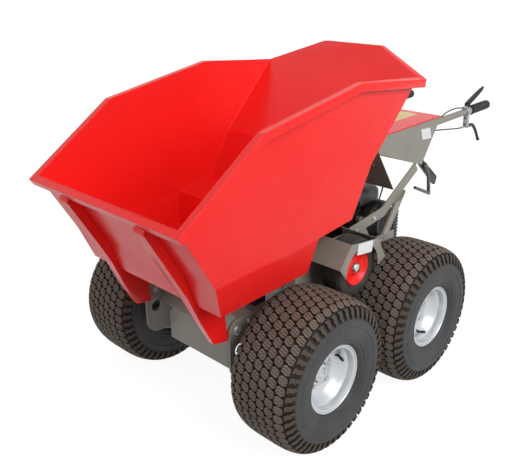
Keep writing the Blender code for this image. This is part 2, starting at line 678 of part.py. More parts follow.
for side, sign in SIDES:
    wall_x = SIDE_PLATE_X + PLATE + SEAT_GAP
    points = [(wall_x, *GUARD_FRONT_TOP), (wall_x, *GUARD_FRONT_FOOT), (wall_x, *GUARD_REAR_TOP),
              (wall_x, *GUARD_REAR_FOOT)]
    turns = [math.pi + ARCH_SINK - (math.pi + 2 * ARCH_SINK) * k / ARCH_STEPS for k in range(ARCH_STEPS + 1)]
    arch = [(GUARD_ARCH_RADIUS * math.cos(turn), DRIVE_Z + GUARD_ARCH_RADIUS * math.sin(turn))
            for turn in turns]
    outer = [GUARD_FRONT_TOP, GUARD_FRONT_FOOT, *arch, GUARD_REAR_FOOT, GUARD_REAR_TOP]
    base = len(points)
    points += [(GUARD_X, y, z) for y, z in outer]
    last = base + len(outer) - 1
    faces = [[0, 1, base + 1, base], [base + i for i in range(len(outer))],
             [last, last - 1, 3, 2]]
    sheet("drive_guard_" + side, points, faces, GUARD_SHEET, grey_paint, sign)

# Engine, on the deck behind the skip

box("engine_block", (-ENGINE_X, ENGINE_FRONT_Y, DECK_Z + SEAT_GAP),
    (ENGINE_X, ENGINE_REAR_Y, ENGINE_TOP_Z), black_plastic, 0.012)
box("engine_tank", (*TANK_LOW, ENGINE_TOP_Z + SEAT_GAP), TANK_HIGH, black_plastic, 0.020)
box("engine_air_filter", (*FILTER_LOW, ENGINE_TOP_Z + SEAT_GAP), FILTER_HIGH,
    black_plastic, 0.012)
box("engine_muffler", MUFFLER_LOW, MUFFLER_HIGH, black_plastic, 0.010)
recoil_face = ENGINE_X + SEAT_GAP
turned("engine_recoil", [(0, recoil_face + RECOIL_DEPTH), (0.040, recoil_face + RECOIL_DEPTH),
                         (RECOIL_RADIUS - 0.016, recoil_face + RECOIL_DEPTH - 0.006),
                         (RECOIL_RADIUS, recoil_face + RECOIL_DEPTH - 0.022), (RECOIL_RADIUS, recoil_face),
                         (0, recoil_face)],
       black_plastic, (0, *RECOIL_CENTRE))

# Handle: flat bars and braces, console, handlebars

bar_x = SIDE_PLATE_X - SEAT_GAP - BAR_THICKNESS
for side, sign in SIDES:
    side_plate("handle_bar_" + side, ribbon([BAR_FOOT, BAR_BEND, BAR_TOP], BAR_WIDTH), bar_x,
               BAR_THICKNESS, sign, grey_paint)
    rise = (Vector(BAR_TOP) - Vector(BAR_BEND)).normalized()
    under = Vector((rise.y, -rise.x))
    meet = Vector(BAR_BEND) + rise * BRACE_RUN + under * (BAR_WIDTH / 2 + SEAT_GAP)
    cut_tube("handle_brace_" + side, (sign * BRACE_X, BRACE_FOOT_Y, MEMBER_TOP_Z + SEAT_GAP),
             (sign * BRACE_X, *meet), BRACE_RADIUS, (0, 0, 1), (0, *under), grey_paint)

points = []
inside = SIDE_PLATE_X
for sign in (1, -1):
    x = sign * (inside + CONSOLE_SHEET)
    points += [(x, *CONSOLE_FRONT), (x, *CONSOLE_NOSE), (x, *CONSOLE_REAR_FOOT), (x, *CONSOLE_REAR_TOP)]
points += [(inside + CONSOLE_SHEET, *CONSOLE_FRONT_FOOT), (-inside - CONSOLE_SHEET, *CONSOLE_FRONT_FOOT)]
faces = [[0, 1, 2, 3], [4, 7, 6, 5], [1, 0, 4, 5], [5, 9, 8, 1], [3, 2, 6, 7]]
sheet("console_shell", points, faces, CONSOLE_SHEET, grey_paint)

lid_x = inside + CONSOLE_SHEET + LID_OVERHANG
lift = SEAT_GAP + CONSOLE_SHEET * LID_CLEAR
lid_rings = []
for y, z in (CONSOLE_FRONT, CONSOLE_REAR_TOP):
    lid_rings.append([(-lid_x, y, z + lift), (lid_x, y, z + lift),
                      (lid_x, y, z + lift + LID_THICKNESS), (-lid_x, y, z + lift + LID_THICKNESS)])
loft("console_lid", lid_rings, red_paint)

back = (Vector(CONSOLE_REAR_TOP) - Vector(CONSOLE_REAR_FOOT)).normalized()
back_out = Vector((back.y, -back.x))
for side, sign in SIDES:
    t = (HANDLEBAR_START_Z - CONSOLE_REAR_FOOT[1]) / back.y
    root = Vector(CONSOLE_REAR_FOOT) + back * t + back_out * (SEAT_GAP * 1.2)
    end = Vector((HANDLEBAR_END_Y, HANDLEBAR_END_Z))
    cut_tube("handlebar_" + side, (sign * HANDLEBAR_X, *root), (sign * HANDLEBAR_X, *end),
             HANDLEBAR_RADIUS, (0, *back_out), (0, *(end - root).normalized()), grey_paint)
    line = (end - root).normalized()
    tilt = math.atan2(line.y, line.x)
    across = Vector((-line.y, line.x))

    def on_bar(y, off=0.0):
        """The (y, z) at this y along the handlebar's line, off above it."""
        at = root + line * ((y - root.x) / line.x)
        return at + across * off

    bore = HANDLEBAR_RADIUS + SEAT_GAP
    grip_root = on_bar(HANDLEBAR_END_Y) - line * (GRIP_LENGTH - 0.007)
    section = [(0, GRIP_LENGTH), (GRIP_RADIUS - 0.009, GRIP_LENGTH), (GRIP_RADIUS - 0.004, GRIP_LENGTH - 0.003),
               (GRIP_RADIUS, GRIP_LENGTH - 0.012), (GRIP_RADIUS, 0.004), (GRIP_RADIUS - 0.002, 0), (bore, 0),
               (bore, GRIP_LENGTH - 0.006), (0, GRIP_LENGTH - 0.006)]
    made = turned("grip_" + side, section, black_plastic, (sign * HANDLEBAR_X, *grip_root), 1, steps=16)
    made.rotation_euler = (tilt - math.pi / 2, 0, 0)
    clamp_at = on_bar(CLAMP_Y)
    ring = [(CLAMP_RADIUS, CLAMP_LENGTH / 2), (CLAMP_RADIUS, -CLAMP_LENGTH / 2),
            (bore, -CLAMP_LENGTH / 2), (bore, CLAMP_LENGTH / 2)]
    made = turned("lever_clamp_" + side, ring, bright_steel, (sign * HANDLEBAR_X, *clamp_at), 1, True, 16)
    made.rotation_euler = (tilt - math.pi / 2, 0, 0)

# Hand levers on the clamps, brake levers under them, and the latch paddle behind the console


def blade(name, path, width, thickness, mat, side_x):
    """A flat bar along a (y, z) path, thickness thick in its own plane, width wide across X."""
    outline = ribbon(path, thickness)
    return plate(name, outline, width, mat, (side_x, 0, 0), ACROSS)


for side, sign in SIDES:
    lever_x = sign * HANDLEBAR_X
    lever_path = [on_bar(CLAMP_Y, CLAMP_RADIUS + SEAT_GAP), on_bar(CLAMP_Y, CLAMP_RADIUS + LEVER_STAND), LEVER_TIP]
    blade("hand_lever_" + side, lever_path, LEVER_WIDTH, LEVER_THICKNESS, black_plastic, lever_x)
    under = [on_bar(y, -CLAMP_RADIUS - SEAT_GAP * 2) for y in (BRACKET_TOP_FRONT, BRACKET_TOP_REAR)]
    foot_rear = BRACKET_TOP_REAR + BRACKET_SET_BACK
    bracket = [under[0], (BRACKET_TOP_FRONT + BRACKET_SET_BACK, BRACKET_FOOT), (foot_rear, BRACKET_FOOT), under[1]]
    plate("lever_bracket_" + side, bracket, BRACKET_WIDTH, bright_steel, (lever_x, 0, 0), ACROSS)
    brake_path = [(foot_rear + SEAT_GAP, BRAKE_Z), *BRAKE_PATH]
    blade("brake_lever_" + side, brake_path, BRAKE_WIDTH, BRAKE_THICKNESS, black_plastic, lever_x)

paddle = [Vector(CONSOLE_REAR_FOOT) + back * up + back_out * (SEAT_GAP * 1.2) for up in PADDLE_ROOT]
plate("latch_paddle", [*paddle, *PADDLE_TIP], PADDLE_THICKNESS, black_plastic, (PADDLE_X, 0, 0), ACROSS)

# The origin goes under the middle of the machine's length, from the skip's lip to the grips

MIDDLE_Y = (LIP[0] + HANDLEBAR_END_Y) / 2
for made in parts.objects:
    if made.parent is None:
        made.location.y -= MIDDLE_Y
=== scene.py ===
import json
import math
import bmesh
import bpy
import numpy as np
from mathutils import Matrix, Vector

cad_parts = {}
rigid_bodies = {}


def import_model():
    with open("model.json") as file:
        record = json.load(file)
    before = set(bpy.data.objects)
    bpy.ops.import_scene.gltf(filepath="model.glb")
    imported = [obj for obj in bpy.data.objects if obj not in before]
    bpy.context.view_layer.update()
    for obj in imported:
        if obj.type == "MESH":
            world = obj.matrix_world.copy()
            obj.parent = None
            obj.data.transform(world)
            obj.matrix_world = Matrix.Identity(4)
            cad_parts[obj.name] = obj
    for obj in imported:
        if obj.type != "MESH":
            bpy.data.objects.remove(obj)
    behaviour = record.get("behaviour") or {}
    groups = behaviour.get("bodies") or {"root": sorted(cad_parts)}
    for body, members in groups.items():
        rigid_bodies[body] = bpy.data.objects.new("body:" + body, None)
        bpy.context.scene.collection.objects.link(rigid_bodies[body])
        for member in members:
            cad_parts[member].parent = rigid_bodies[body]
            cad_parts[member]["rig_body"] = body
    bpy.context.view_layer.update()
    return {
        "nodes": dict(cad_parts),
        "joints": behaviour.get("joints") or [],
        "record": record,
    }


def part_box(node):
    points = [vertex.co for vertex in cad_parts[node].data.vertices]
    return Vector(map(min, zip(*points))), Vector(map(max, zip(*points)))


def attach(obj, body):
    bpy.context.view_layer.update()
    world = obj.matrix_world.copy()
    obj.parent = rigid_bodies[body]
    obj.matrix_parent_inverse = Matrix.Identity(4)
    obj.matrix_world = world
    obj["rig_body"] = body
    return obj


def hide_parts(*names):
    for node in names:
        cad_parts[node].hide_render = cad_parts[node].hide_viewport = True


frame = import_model()
nodes = frame["nodes"]
joints = {row["name"]: row for row in frame["joints"]}
wheelNames = ("front_left", "front_right", "rear_left", "rear_right")
wheelMiddles = {name: np.array(joints[name + "_wheel_roll"]["pos_m"]) for name in wheelNames}
driveMiddles = {side: np.array(joints[side + "_drive_wheel_roll"]["pos_m"]) for side in ("left", "right")}
# places below count their y from the middle of the wheelbase
midY = (wheelMiddles["front_left"][1] + wheelMiddles["rear_left"][1]) / 2
sides = (("left", 1), ("right", -1))
print("frame loaded:", len(nodes), "nodes")


class Sock:
    # one node socket: arithmetic on it adds Math nodes, and numbers may stand on either side

    def __init__(self, maker, socket):
        self.maker = maker
        self.socket = socket

    def join(self, operation, first, second):
        return self.maker.add("ShaderNodeMath", {"operation": operation}, {0: first, 1: second})

    def __add__(self, other):
        return self.join("ADD", self, other)

    def __sub__(self, other):
        return self.join("SUBTRACT", self, other)

    def __mul__(self, other):
        return self.join("MULTIPLY", self, other)

    def __rsub__(self, other):
        return self.join("SUBTRACT", other, self)

    def atMost(self, limit):
        return self.join("MINIMUM", self, limit)

    __radd__ = __add__
    __rmul__ = __mul__


class NodeMaker:
    # one tree of nodes: add() makes any node, feed() links or sets a socket

    def __init__(self, tree):
        self.nodes = tree.nodes
        self.links = tree.links

    def add(self, kind, settings=None, values=None, out=0):
        node = self.nodes.new(kind)
        for setting, value in (settings or {}).items():
            if setting == "stops":
                for stop, (place, shade) in zip(node.color_ramp.elements, value):
                    stop.position = place
                    stop.color = (shade, shade, shade, 1)
            else:
                setattr(node, setting, value)
        for key, value in (values or {}).items():
            self.feed(node.inputs[key], value)
        return Sock(self, node.outputs[out])

    def feed(self, socket, value):
        if isinstance(value, Sock):
            self.links.new(value.socket, socket)
        else:
            socket.default_value = value


class Finish(NodeMaker):
    # a material with one Principled shader, whose sockets are fixed by keywords

    def __init__(self, name, **fixed):
        self.material = bpy.data.materials.new(name)
        self.material.use_nodes = True
        super().__init__(self.material.node_tree)
        self.shader = self.nodes["Principled BSDF"]
        self.give(**fixed)

    def give(self, **inputs):
        for socketName, value in inputs.items():
            self.feed(self.shader.inputs[socketName.replace("_", " ")], value)
        return self

    def noise(self, scale, detail=4, roughness=.5):
        place = self.add("ShaderNodeTexCoord", out="Object")
        values = {"Vector": place, "Scale": scale, "Detail": detail, "Roughness": roughness}
        return self.add("ShaderNodeTexNoise", {}, values, "Fac")

    def ramp(self, value, low, high):
        return self.add("ShaderNodeValToRGB", {"stops": ((low, 0), (high, 1))}, {0: value})

    def mix(self, amount, first, second):
        return self.add("ShaderNodeMix", {"data_type": "RGBA"}, {0: amount, 6: first, 7: second}, 2)

    def bump(self, height, strength, distance):
        values = {"Height": height, "Strength": strength, "Distance": distance}
        return self.add("ShaderNodeBump", {}, values)


def tint(red, green, blue):
    # a colour given as screen values 0-255, made linear
    values = np.array([red, green, blue]) / 255
    linear = np.where(values <= .04045, values / 12.92, ((values + .055) / 1.055) ** 2.4)
    return (*[float(v) for v in linear], 1)


def paint(name, main, second, rough, coat, gloss=.25):
    # enamel on sheet steel: slow waves of the sheet, fine orange peel, and faint dull patches
    made = Finish(name, Coat_Roughness=.1, Specular_IOR_Level=gloss)
    patches = made.ramp(made.noise(5, 5, .6), .35, .75)
    specks = made.ramp(made.noise(260, 2, .6), .66, .74)
    height = made.noise(9, 2, .4) + made.noise(380, 2, .5) * .05
    made.give(Base_Color=made.mix(patches * .5 + specks * .12, main, second),
              Coat_Weight=coat - patches * (coat * .3),
              Roughness=patches * .1 + rough, Normal=made.bump(height, .18, .004))
    return made.material


def metal(name, main, second, rough, grain, shine=1.0):
    # plated or painted metal: cloudy tone and a fine grain
    made = Finish(name, Metallic=shine)
    cloud = made.noise(45, 4, .6)
    made.give(Base_Color=made.mix(cloud * .6, main, second), Roughness=cloud * .14 + rough,
              Normal=made.bump(made.noise(grain, 3, .5), .1, .0006))
    return made.material


def blackPart(name, main, second, rough, grain):
    # moulded plastic or blacked metal with a light bloom of dust
    made = Finish(name, Specular_IOR_Level=.4)
    dust = made.ramp(made.noise(18, 6, .65), .42, .8)
    made.give(Base_Color=made.mix(dust * .6, main, second), Roughness=dust * .2 + rough,
              Normal=made.bump(made.noise(grain, 3, .6), .2, .0006))
    return made.material


def tyreFinish(name, grooveShade, top, flank):
    # the per-point tread attribute is 1 on the block tops, 0 in the grooves and -1 on the flanks: the tops
    # take a lighter worn and dusty colour, the grooves and block sides a near-black painted shade
    made = Finish(name, Specular_IOR_Level=.3)
    wear = made.add("ShaderNodeAttribute", {"attribute_name": "wear"}, out="Fac")
    cloud = made.noise(30, 5, .7)
    dirt = made.ramp(made.noise(7, 4, .6), .4, .75)
    # block tops lighter from wear and dust, grooves and block sides darkened as painted shade
    tread = made.mix(made.ramp(wear, .25, .9) * (cloud * .7 + .45), grooveShade, top)
    side = made.mix(dirt * .6, flank, tint(84, 83, 84))
    onFlank = made.ramp(wear * -1, .1, .9)
    made.give(Base_Color=made.mix(onFlank, tread, side), Roughness=cloud * .2 + .62 - onFlank * .14,
              Normal=made.bump(made.noise(420, 3, .6), .3, .0008))
    return made.material


finishes = {
    "red_paint": paint("redEnamel", tint(248, 34, 30), tint(236, 28, 28), .3, .16),
    "grey_paint": paint("greyEnamel", tint(150, 147, 137), tint(132, 128, 118), .38, .25),
    "silver_paint": metal("wheelSilver", tint(208, 211, 214), tint(176, 180, 184), .3, 500, .55),
    "bright_steel": metal("zincPlate", tint(216, 216, 212), tint(150, 150, 146), .24, 200),
    "black_plastic": blackPart("blackMoulding", tint(26, 26, 28), tint(58, 56, 54), .42, 260),
    # tread: grooves near-black as painted shade, tops lighter from wear and dust, flanks grey rubber
    "tyre_rubber": tyreFinish("treadRubber", tint(34, 28, 25), tint(122, 111, 100), tint(58, 58, 60)),
}
driveRubber = blackPart("driveRubber", tint(40, 38, 37), tint(86, 78, 72), .6, 300)
engineBlack = blackPart("engineBlack", tint(20, 20, 21), tint(52, 50, 48), .4, 150)
enginePlastic = blackPart("engineGreyPlastic", tint(74, 74, 76), tint(96, 95, 94), .38, 300)
castSilver = metal("castSilver", tint(188, 190, 190), tint(130, 132, 132), .36, 240, .9)
labelWhite = paint("labelWhite", tint(236, 238, 238), tint(222, 224, 226), .3, .3)
labelCream = paint("labelCream", tint(232, 206, 132), tint(224, 196, 118), .34, .2)
steelDark = metal("steelDark", tint(120, 118, 114), tint(84, 82, 78), .4, 220)
slotOf = {row["node"]: row["material_slot"] for row in frame["record"]["subparts"]}
for nodeName, node in nodes.items():
    node.data.materials.clear()
    node.data.materials.append(finishes[slotOf[nodeName]])
print("finishes on:", len(nodes), "nodes")


def at(x, y, z):
    # a point whose y counts from the middle of the wheelbase
    return np.array([x, y + midY, z])


def gridFaces(rows, columns, closedRows=False, closedColumns=False):
    # one quad between neighbours (r, c), (r, c+1), (r+1, c+1), (r+1, c); closed directions wrap round
    rowStarts = np.arange(rows - (not closedRows))
    columnStarts = np.arange(columns - (not closedColumns))
    r, c = np.meshgrid(rowStarts, columnStarts, indexing="ij")
    nextRow = (r + 1) % rows
    nextColumn = (c + 1) % columns
    corners = (r * columns + c, r * columns + nextColumn,
               nextRow * columns + nextColumn, nextRow * columns + c)
    return np.stack(corners, -1).reshape(-1, 4).tolist()


class Heap:
    # meshes gathered as arrays and then made one piece

    def __init__(self):
        self.points = []
        self.faces = []
        self.count = 0

    def add(self, points, faces):
        points = np.asarray(points, float).reshape(-1, 3)
        self.points.append(points)
        self.faces += [[index + self.count for index in face] for face in faces]
        self.count += len(points)
        return self

    def piece(self, name, finish, body, sharp=40, slot=None, closed=True, wear=None):
        mesh = bpy.data.meshes.new(name)
        mesh.from_pydata(np.concatenate(self.points).tolist(), [], self.faces)
        if closed:
            shell = bmesh.new()
            shell.from_mesh(mesh)
            bmesh.ops.recalc_face_normals(shell, faces=shell.faces)
            shell.to_mesh(mesh)
            shell.free()
        mesh.shade_smooth()
        mesh.set_sharp_from_angle(angle=math.radians(sharp))
        # the tyres' per-point tread tone: lighter worn tops, and painted shade in the grooves
        if wear is not None:
            layer = mesh.attributes.new("wear", "FLOAT", "POINT")
            layer.data.foreach_set("value", np.asarray(wear, np.float32))
        mesh.materials.append(finish)
        made = bpy.data.objects.new(name, mesh)
        bpy.context.scene.collection.objects.link(made)
        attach(made, body)
        return made


def spun(profile, steps, middle, sign=1):
    # x = along * sign, y = radius cos(turn), z = radius sin(turn), about the axis through middle;
    # a profile that begins and ends on that axis closes itself
    profile = np.array(profile, float)
    turn = np.linspace(0, 2 * np.pi, steps, endpoint=False)[:, None]
    radius = profile[None, :, 0]
    along = np.broadcast_to(profile[None, :, 1] * sign, (steps, len(profile)))
    points = np.stack([along, radius * np.cos(turn), radius * np.sin(turn)], -1) + np.asarray(middle)
    closed = profile[0, 0] > 1e-6 or profile[-1, 0] > 1e-6
    return points, gridFaces(steps, len(profile), True, closed)


def roundCaps(name, profiles, steps, middles, signs, finish, body, **more):
    # several turned shapes in one piece, with the points on their axes merged
    heap = Heap()
    for profile, middle, sign in zip(profiles, middles, signs):
        heap.add(*spun(profile, steps, middle, sign))
    made = heap.piece(name, finish, body, **more)
    shell = bmesh.new()
    shell.from_mesh(made.data)
    bmesh.ops.remove_doubles(shell, verts=shell.verts, dist=1e-6)
    bmesh.ops.recalc_face_normals(shell, faces=shell.faces)
    shell.to_mesh(made.data)
    shell.free()
    made.data.set_sharp_from_angle(angle=math.radians(more.get("sharp", 40)))
    return made


def smoothPath(knots, count):
    # a Catmull-Rom curve through the knots, sampled evenly in its parameter
    knots = np.array(knots, float)
    padded = np.vstack([2 * knots[0] - knots[1], knots, 2 * knots[-1] - knots[-2]])
    place = np.linspace(0, len(knots) - 1, count)
    span = np.minimum(place.astype(int), len(knots) - 2)
    t = (place - span)[:, None]
    a, b, c, d = (padded[span + k] for k in range(4))
    square = 2 * a - 5 * b + 4 * c - d
    cube = 3 * b - a - 3 * c + d
    return .5 * (2 * b + (c - a) * t + square * t ** 2 + cube * t ** 3)


def tubeAlong(path, radii, steps=12):
    # point + radius (cos turn * across + sin turn * up), with across carried along the path without twist
    path = np.array(path, float)
    radii = np.broadcast_to(np.asarray(radii, float), len(path))
    along = np.gradient(path, axis=0)
    along /= np.linalg.norm(along, axis=1)[:, None]
    across = np.cross(along[0], (0, 0, 1) if abs(along[0][2]) < .9 else (1, 0, 0))
    rings = []
    turn = np.linspace(0, 2 * np.pi, steps, endpoint=False)[:, None]
    for point, direction, radius in zip(path, along, radii):
        across = across - direction * (across @ direction)
        across /= np.linalg.norm(across)
        up = np.cross(direction, across)
        rings.append(point + radius * (np.cos(turn) * across + np.sin(turn) * up))
    faces = gridFaces(len(path), steps, False, True)
    last = (len(path) - 1) * steps
    faces += [list(range(steps)), list(range(last, last + steps))]
    return np.concatenate(rings), faces


def prism(outline, origin, first, second, thickness, bevel=0.0):
    # origin + a first + b second, raised along their cross product, with its rims drawn in by the bevel
    outline = np.array(outline, float)
    first, second = np.array(first, float), np.array(second, float)
    rise = np.cross(first, second)
    centre = outline.mean(0)
    reach = np.linalg.norm(outline - centre, axis=1)[:, None]
    drawn = centre + (outline - centre) * (1 - bevel / reach)
    rings = [(outline, 0), (outline, thickness)]
    if bevel:
        rings = [(drawn, 0), (outline, bevel), (outline, thickness - bevel), (drawn, thickness)]
    points = [np.asarray(origin) + ring[:, :1] * first + ring[:, 1:] * second + rise * level
              for ring, level in rings]
    count = len(outline)
    last = (len(rings) - 1) * count
    faces = gridFaces(len(rings), count, False, True) + [list(range(count)), list(range(last, last + count))]
    return np.concatenate(points), faces


def polygon(count, radius, start=0.0):
    turn = np.arange(count) * 2 * np.pi / count + start
    return np.stack([np.cos(turn), np.sin(turn)], 1) * radius


def roundedBox(width, height, radius, steps=5):
    # the corner arcs of a rectangle centred on 0
    turn = np.linspace(0, np.pi / 2, steps)
    arcs = []
    for k, (a, b) in enumerate(((1, 1), (-1, 1), (-1, -1), (1, -1))):
        middle = np.array([a * (width / 2 - radius), b * (height / 2 - radius)])
        quarter = turn + k * np.pi / 2
        arcs.append(middle + radius * np.stack([np.cos(quarter), np.sin(quarter)], 1))
    return np.concatenate(arcs)


axisX, axisY, axisZ = np.eye(3)


def bolt(heap, place, first, second, size, washer=True):
    # a washer and a six-sided head with bevelled rims, standing along first x second
    rise = np.cross(first, second)
    place = np.asarray(place, float)
    if washer:
        heap.add(*prism(polygon(20, size * 1.02), place, first, second, size * .16, size * .04))
        place = place + rise * size * .16
    heap.add(*prism(polygon(6, size * .62 * 1.1547), place, first, second, size * .55, size * .08))


# tyres: a moulded carcass with rows of sawtooth-cut blocks and shoulder lugs
tyreGuide = {"tread": .0065, "rows": 50, "columns": (-.093, -.062, -.031, 0, .031, .062, .093), "skew": .45,
             "blockWidth": .0285, "blockLength": .0272, "bars": 3, "sipe": .0012, "step": .0022,
             "corner": .005, "midRadius": .165, "power": 4, "around": 144}


def tyreSection(outerRadius, halfWidth, count=241):
    # over the tread a fourth-power oval, then the flanks in to the bead:
    # (x / halfWidth)^4 + ((r - mid) / (outer - mid))^4 = 1
    guide = tyreGuide
    mid = guide["midRadius"]
    turn = np.linspace(-np.pi / 2, np.pi / 2, count)
    share = 2 / guide["power"]
    x = halfWidth * np.sign(np.sin(turn)) * np.abs(np.sin(turn)) ** share
    radius = mid + (outerRadius - mid) * np.abs(np.cos(turn)) ** share
    low = np.linspace(.1138, mid, 30)[:-1]
    flank = halfWidth - .022 + .022 * np.sqrt(1 - ((mid - low) / .0515) ** 2)
    x = np.concatenate([-flank, x, flank[::-1]])
    radius = np.concatenate([low, radius, low[::-1]])
    length = np.concatenate([[0], np.cumsum(np.hypot(np.diff(x), np.diff(radius)))])
    even = np.linspace(0, length[-1], 2 * count)
    x, radius = np.interp(even, length, x), np.interp(even, length, radius)
    normal = np.stack([-np.gradient(radius, even), np.gradient(x, even)], 1)
    normal /= np.linalg.norm(normal, axis=1)[:, None]
    return even - length[-1] / 2, x, radius, normal


def onTyre(section, q, turn, height, middle):
    # the section's point at arc length q, moved along its normal by height, then turned about the axle
    arc, x, radius, normal = section
    nx, nr = np.interp(q, arc, normal[:, 0]), np.interp(q, arc, normal[:, 1])
    along = np.interp(q, arc, x) + nx * height
    reach = np.interp(q, arc, radius) + nr * height
    return np.stack([along, reach * np.cos(turn), reach * np.sin(turn)], -1) + middle


def barTemplate():
    # three bars to a block, cut apart by stepped sipes: each is an outline and its drawn-in top
    guide = tyreGuide
    halfWidth, halfLength = guide["blockWidth"] / 2, guide["blockLength"] / 2
    pitch = guide["blockLength"] / guide["bars"]
    cut = guide["corner"]
    across = np.array([-1, -.34, -.1, .1, .34, 1]) * halfWidth
    stagger = np.array([-1, -1, -.6, .6, 1, 1]) * guide["step"]
    templates = []
    for index in range(guide["bars"]):
        low = -halfLength + index * pitch + (guide["sipe"] / 2 if index else 0)
        high = -halfLength + (index + 1) * pitch - (guide["sipe"] / 2 if index < guide["bars"] - 1 else 0)
        lowLine, highLine = low + stagger, high + stagger
        if index == 0:
            lowLine = lowLine + np.array([cut, 0, 0, 0, 0, cut])
        if index == guide["bars"] - 1:
            highLine = highLine - np.array([cut, 0, 0, 0, 0, cut])
        outline = np.concatenate([np.stack([across, lowLine], 1), np.stack([across, highLine], 1)[::-1]])
        middle = outline.mean(0)
        inner = middle + (outline - middle) * (.9, .84)
        templates.append((outline, inner))
    return templates


def addRaised(heap, wear, rings, tones):
    # many copies of one shape at once: its rings run from foot to top, and the last one is closed
    points = np.stack(rings, -3)
    count = points.shape[-2]
    stride = len(rings) * count
    copies = points.size // (stride * 3)
    single = gridFaces(len(rings), count, False, True) + [list(range(stride - count, stride))]
    heap.add(points, [[index + copy * stride for index in face] for copy in range(copies) for face in single])
    # tones run foot to top: the low tones paint the feet dark as groove shade
    wear.append(np.tile(np.repeat(tones, count), copies))


def makeTyre(name):
    guide = tyreGuide
    node = "tyre_" + name
    low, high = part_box(node)
    middle = wheelMiddles[name]
    outer, halfWidth = (high.z - low.z) / 2 - .0004, (high.x - low.x) / 2 - .0006
    section = tyreSection(outer, halfWidth)
    arc, x, radius, normal = section
    # carcass: sunk under the tread, ribbed on the flanks
    q = np.concatenate([np.linspace(arc[0], -.15, 105), np.linspace(-.147, .147, 60),
                        np.linspace(.15, arc[-1], 105)])
    edge = np.abs(q)
    sink = guide["tread"] * np.clip((.152 - edge) / .014, 0, 1)
    reach = np.interp(q, arc, radius)
    ribs = sum(tall * np.exp(-((reach - place) / wide) ** 2) * (edge > .14)
               for place, wide, tall in ((.207, .0020, .0016), (.201, .0016, -.0012), (.178, .0016, .0014),
                                         (.173, .0020, -.0012), (.150, .0014, .0008), (.136, .0014, .0012),
                                         (.130, .0018, -.0014), (.1235, .0018, .0016)))
    turn = np.linspace(0, 2 * np.pi, guide["around"], endpoint=False)[:, None]
    everyRow = np.broadcast_to(q, (guide["around"], len(q)))
    skin = onTyre(section, everyRow, turn, (ribs - sink - .0004)[None], middle)
    heap = Heap()
    heap.add(skin, gridFaces(guide["around"], len(q), True, False))
    # carcass under the tread gets tone 0, painted dark as groove shade; the flanks get -1
    wear = [np.tile(np.where(edge > .149, -1.0, 0.0), guide["around"])]
    # blocks: one template laid at every row and column at once
    rows = np.arange(guide["rows"])
    columns = np.array(guide["columns"])
    step = 2 * np.pi / guide["rows"]
    start = rows[:, None] * step + np.arange(len(columns))[None] * step * guide["skew"]
    for outline, inner in barTemplate():
        rings = []
        for flat, height in ((outline, -guide["tread"] - .001), (outline, -.0010), (inner, 0.0)):
            qs = columns[None, :, None] + flat[None, None, :, 0]
            turns = start[:, :, None] + flat[None, None, :, 1] / outer
            rings.append(onTyre(section, np.broadcast_to(qs, turns.shape), turns,
                                np.full(turns.shape, height), middle))
        # block feet 0 (painted groove shade), sides .55, tops 1 (lighter, worn)
        addRaised(heap, wear, rings, [0.0, .55, 1.0])
    # shoulder lugs: stepped feet that run down on to the flank
    lug = np.array([[.1105, -.009], [.120, -.0125], [.127, -.0095], [.140, -.0125], [.151, -.0085],
                    [.151, .0035], [.140, .0020], [.133, .0090], [.120, .0060], [.1105, .0115]])
    lugTop = lug.mean(0) + (lug - lug.mean(0)) * (.92, .86)
    for sign in (1, -1):
        starts = (np.arange(guide["rows"]) + (.5 if sign > 0 else .1)) * step
        rings = []
        for flat, height in ((lug, -guide["tread"] - .001), (lug, -.0012), (lugTop, 0.0)):
            turns = starts[:, None] + sign * flat[None, :, 1] / outer
            fade = np.clip((.158 - flat[:, 0]) / .03, .25, 1)
            rings.append(onTyre(section, np.broadcast_to(sign * flat[:, 0], turns.shape), turns,
                                np.full(turns.shape, height) * fade, middle))
        # lug feet 0 (painted groove shade), lug tops .5, a middle tone
        addRaised(heap, wear, rings, [0.0, .25, .5])
    made = heap.piece("tread_" + name, finishes["tyre_rubber"], "wheel_" + name, 32, "tyre_rubber", True,
                      np.concatenate(wear))
    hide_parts(node)


for wheelName in wheelNames:
    makeTyre(wheelName)
print("tyres made")


# rims: rolled flange, bead seats, drop centre and a dished disc, then hub, nuts and valve
rimGuide = {"flange": .1135, "halfWidth": .104, "face": .0430, "back": .0360, "sheet": .0028, "nuts": 5,
            "nutRadius": .047, "steps": 120}


def rimProfile():
    # a closed loop of (radius, along): near edge, tyre side, far edge, air side, then the disc
    g = rimGuide
    roll = [(g["flange"] - .003 + .003 * math.cos(a), g["halfWidth"] - .003 + .003 * math.sin(a))
            for a in np.linspace(2.6, -.5, 8)]
    near = [(.1095, .0972), (.1035, .0955), (.1005, .0910), (.0995, .0780), (.0935, .0735), (.0885, .0640),
            (.0860, .0520)]
    far = [(.0860, -.0200), (.0885, -.0300), (.0985, -.0500), (.0995, -.0780), (.1005, -.0910),
           (.1035, -.0955), (.1095, -.0972)]
    inside = [(r - g["sheet"], a) for r, a in far[::-1]]
    disc = [(.0832, .0500), (.0780, .0455), (.0660, .0390), (.0500, g["back"]), (.0340, g["back"]),
            (.0340, g["face"] + .0020), (.0385, g["face"] + .0025), (.0440, g["face"]),
            (.0540, g["face"] - .0005), (.0660, g["face"] + .0040), (.0740, g["face"] + .0105),
            (.0800, g["face"] + .0180)]
    front = [(.0862, .0690), (.0900, .0748), (.0965, .0790), (.0977, .0915), (.1007, .0980), (.1067, .0995)]
    return roll + near + far + [(r, -a) for r, a in roll[::-1]] + inside + disc + front


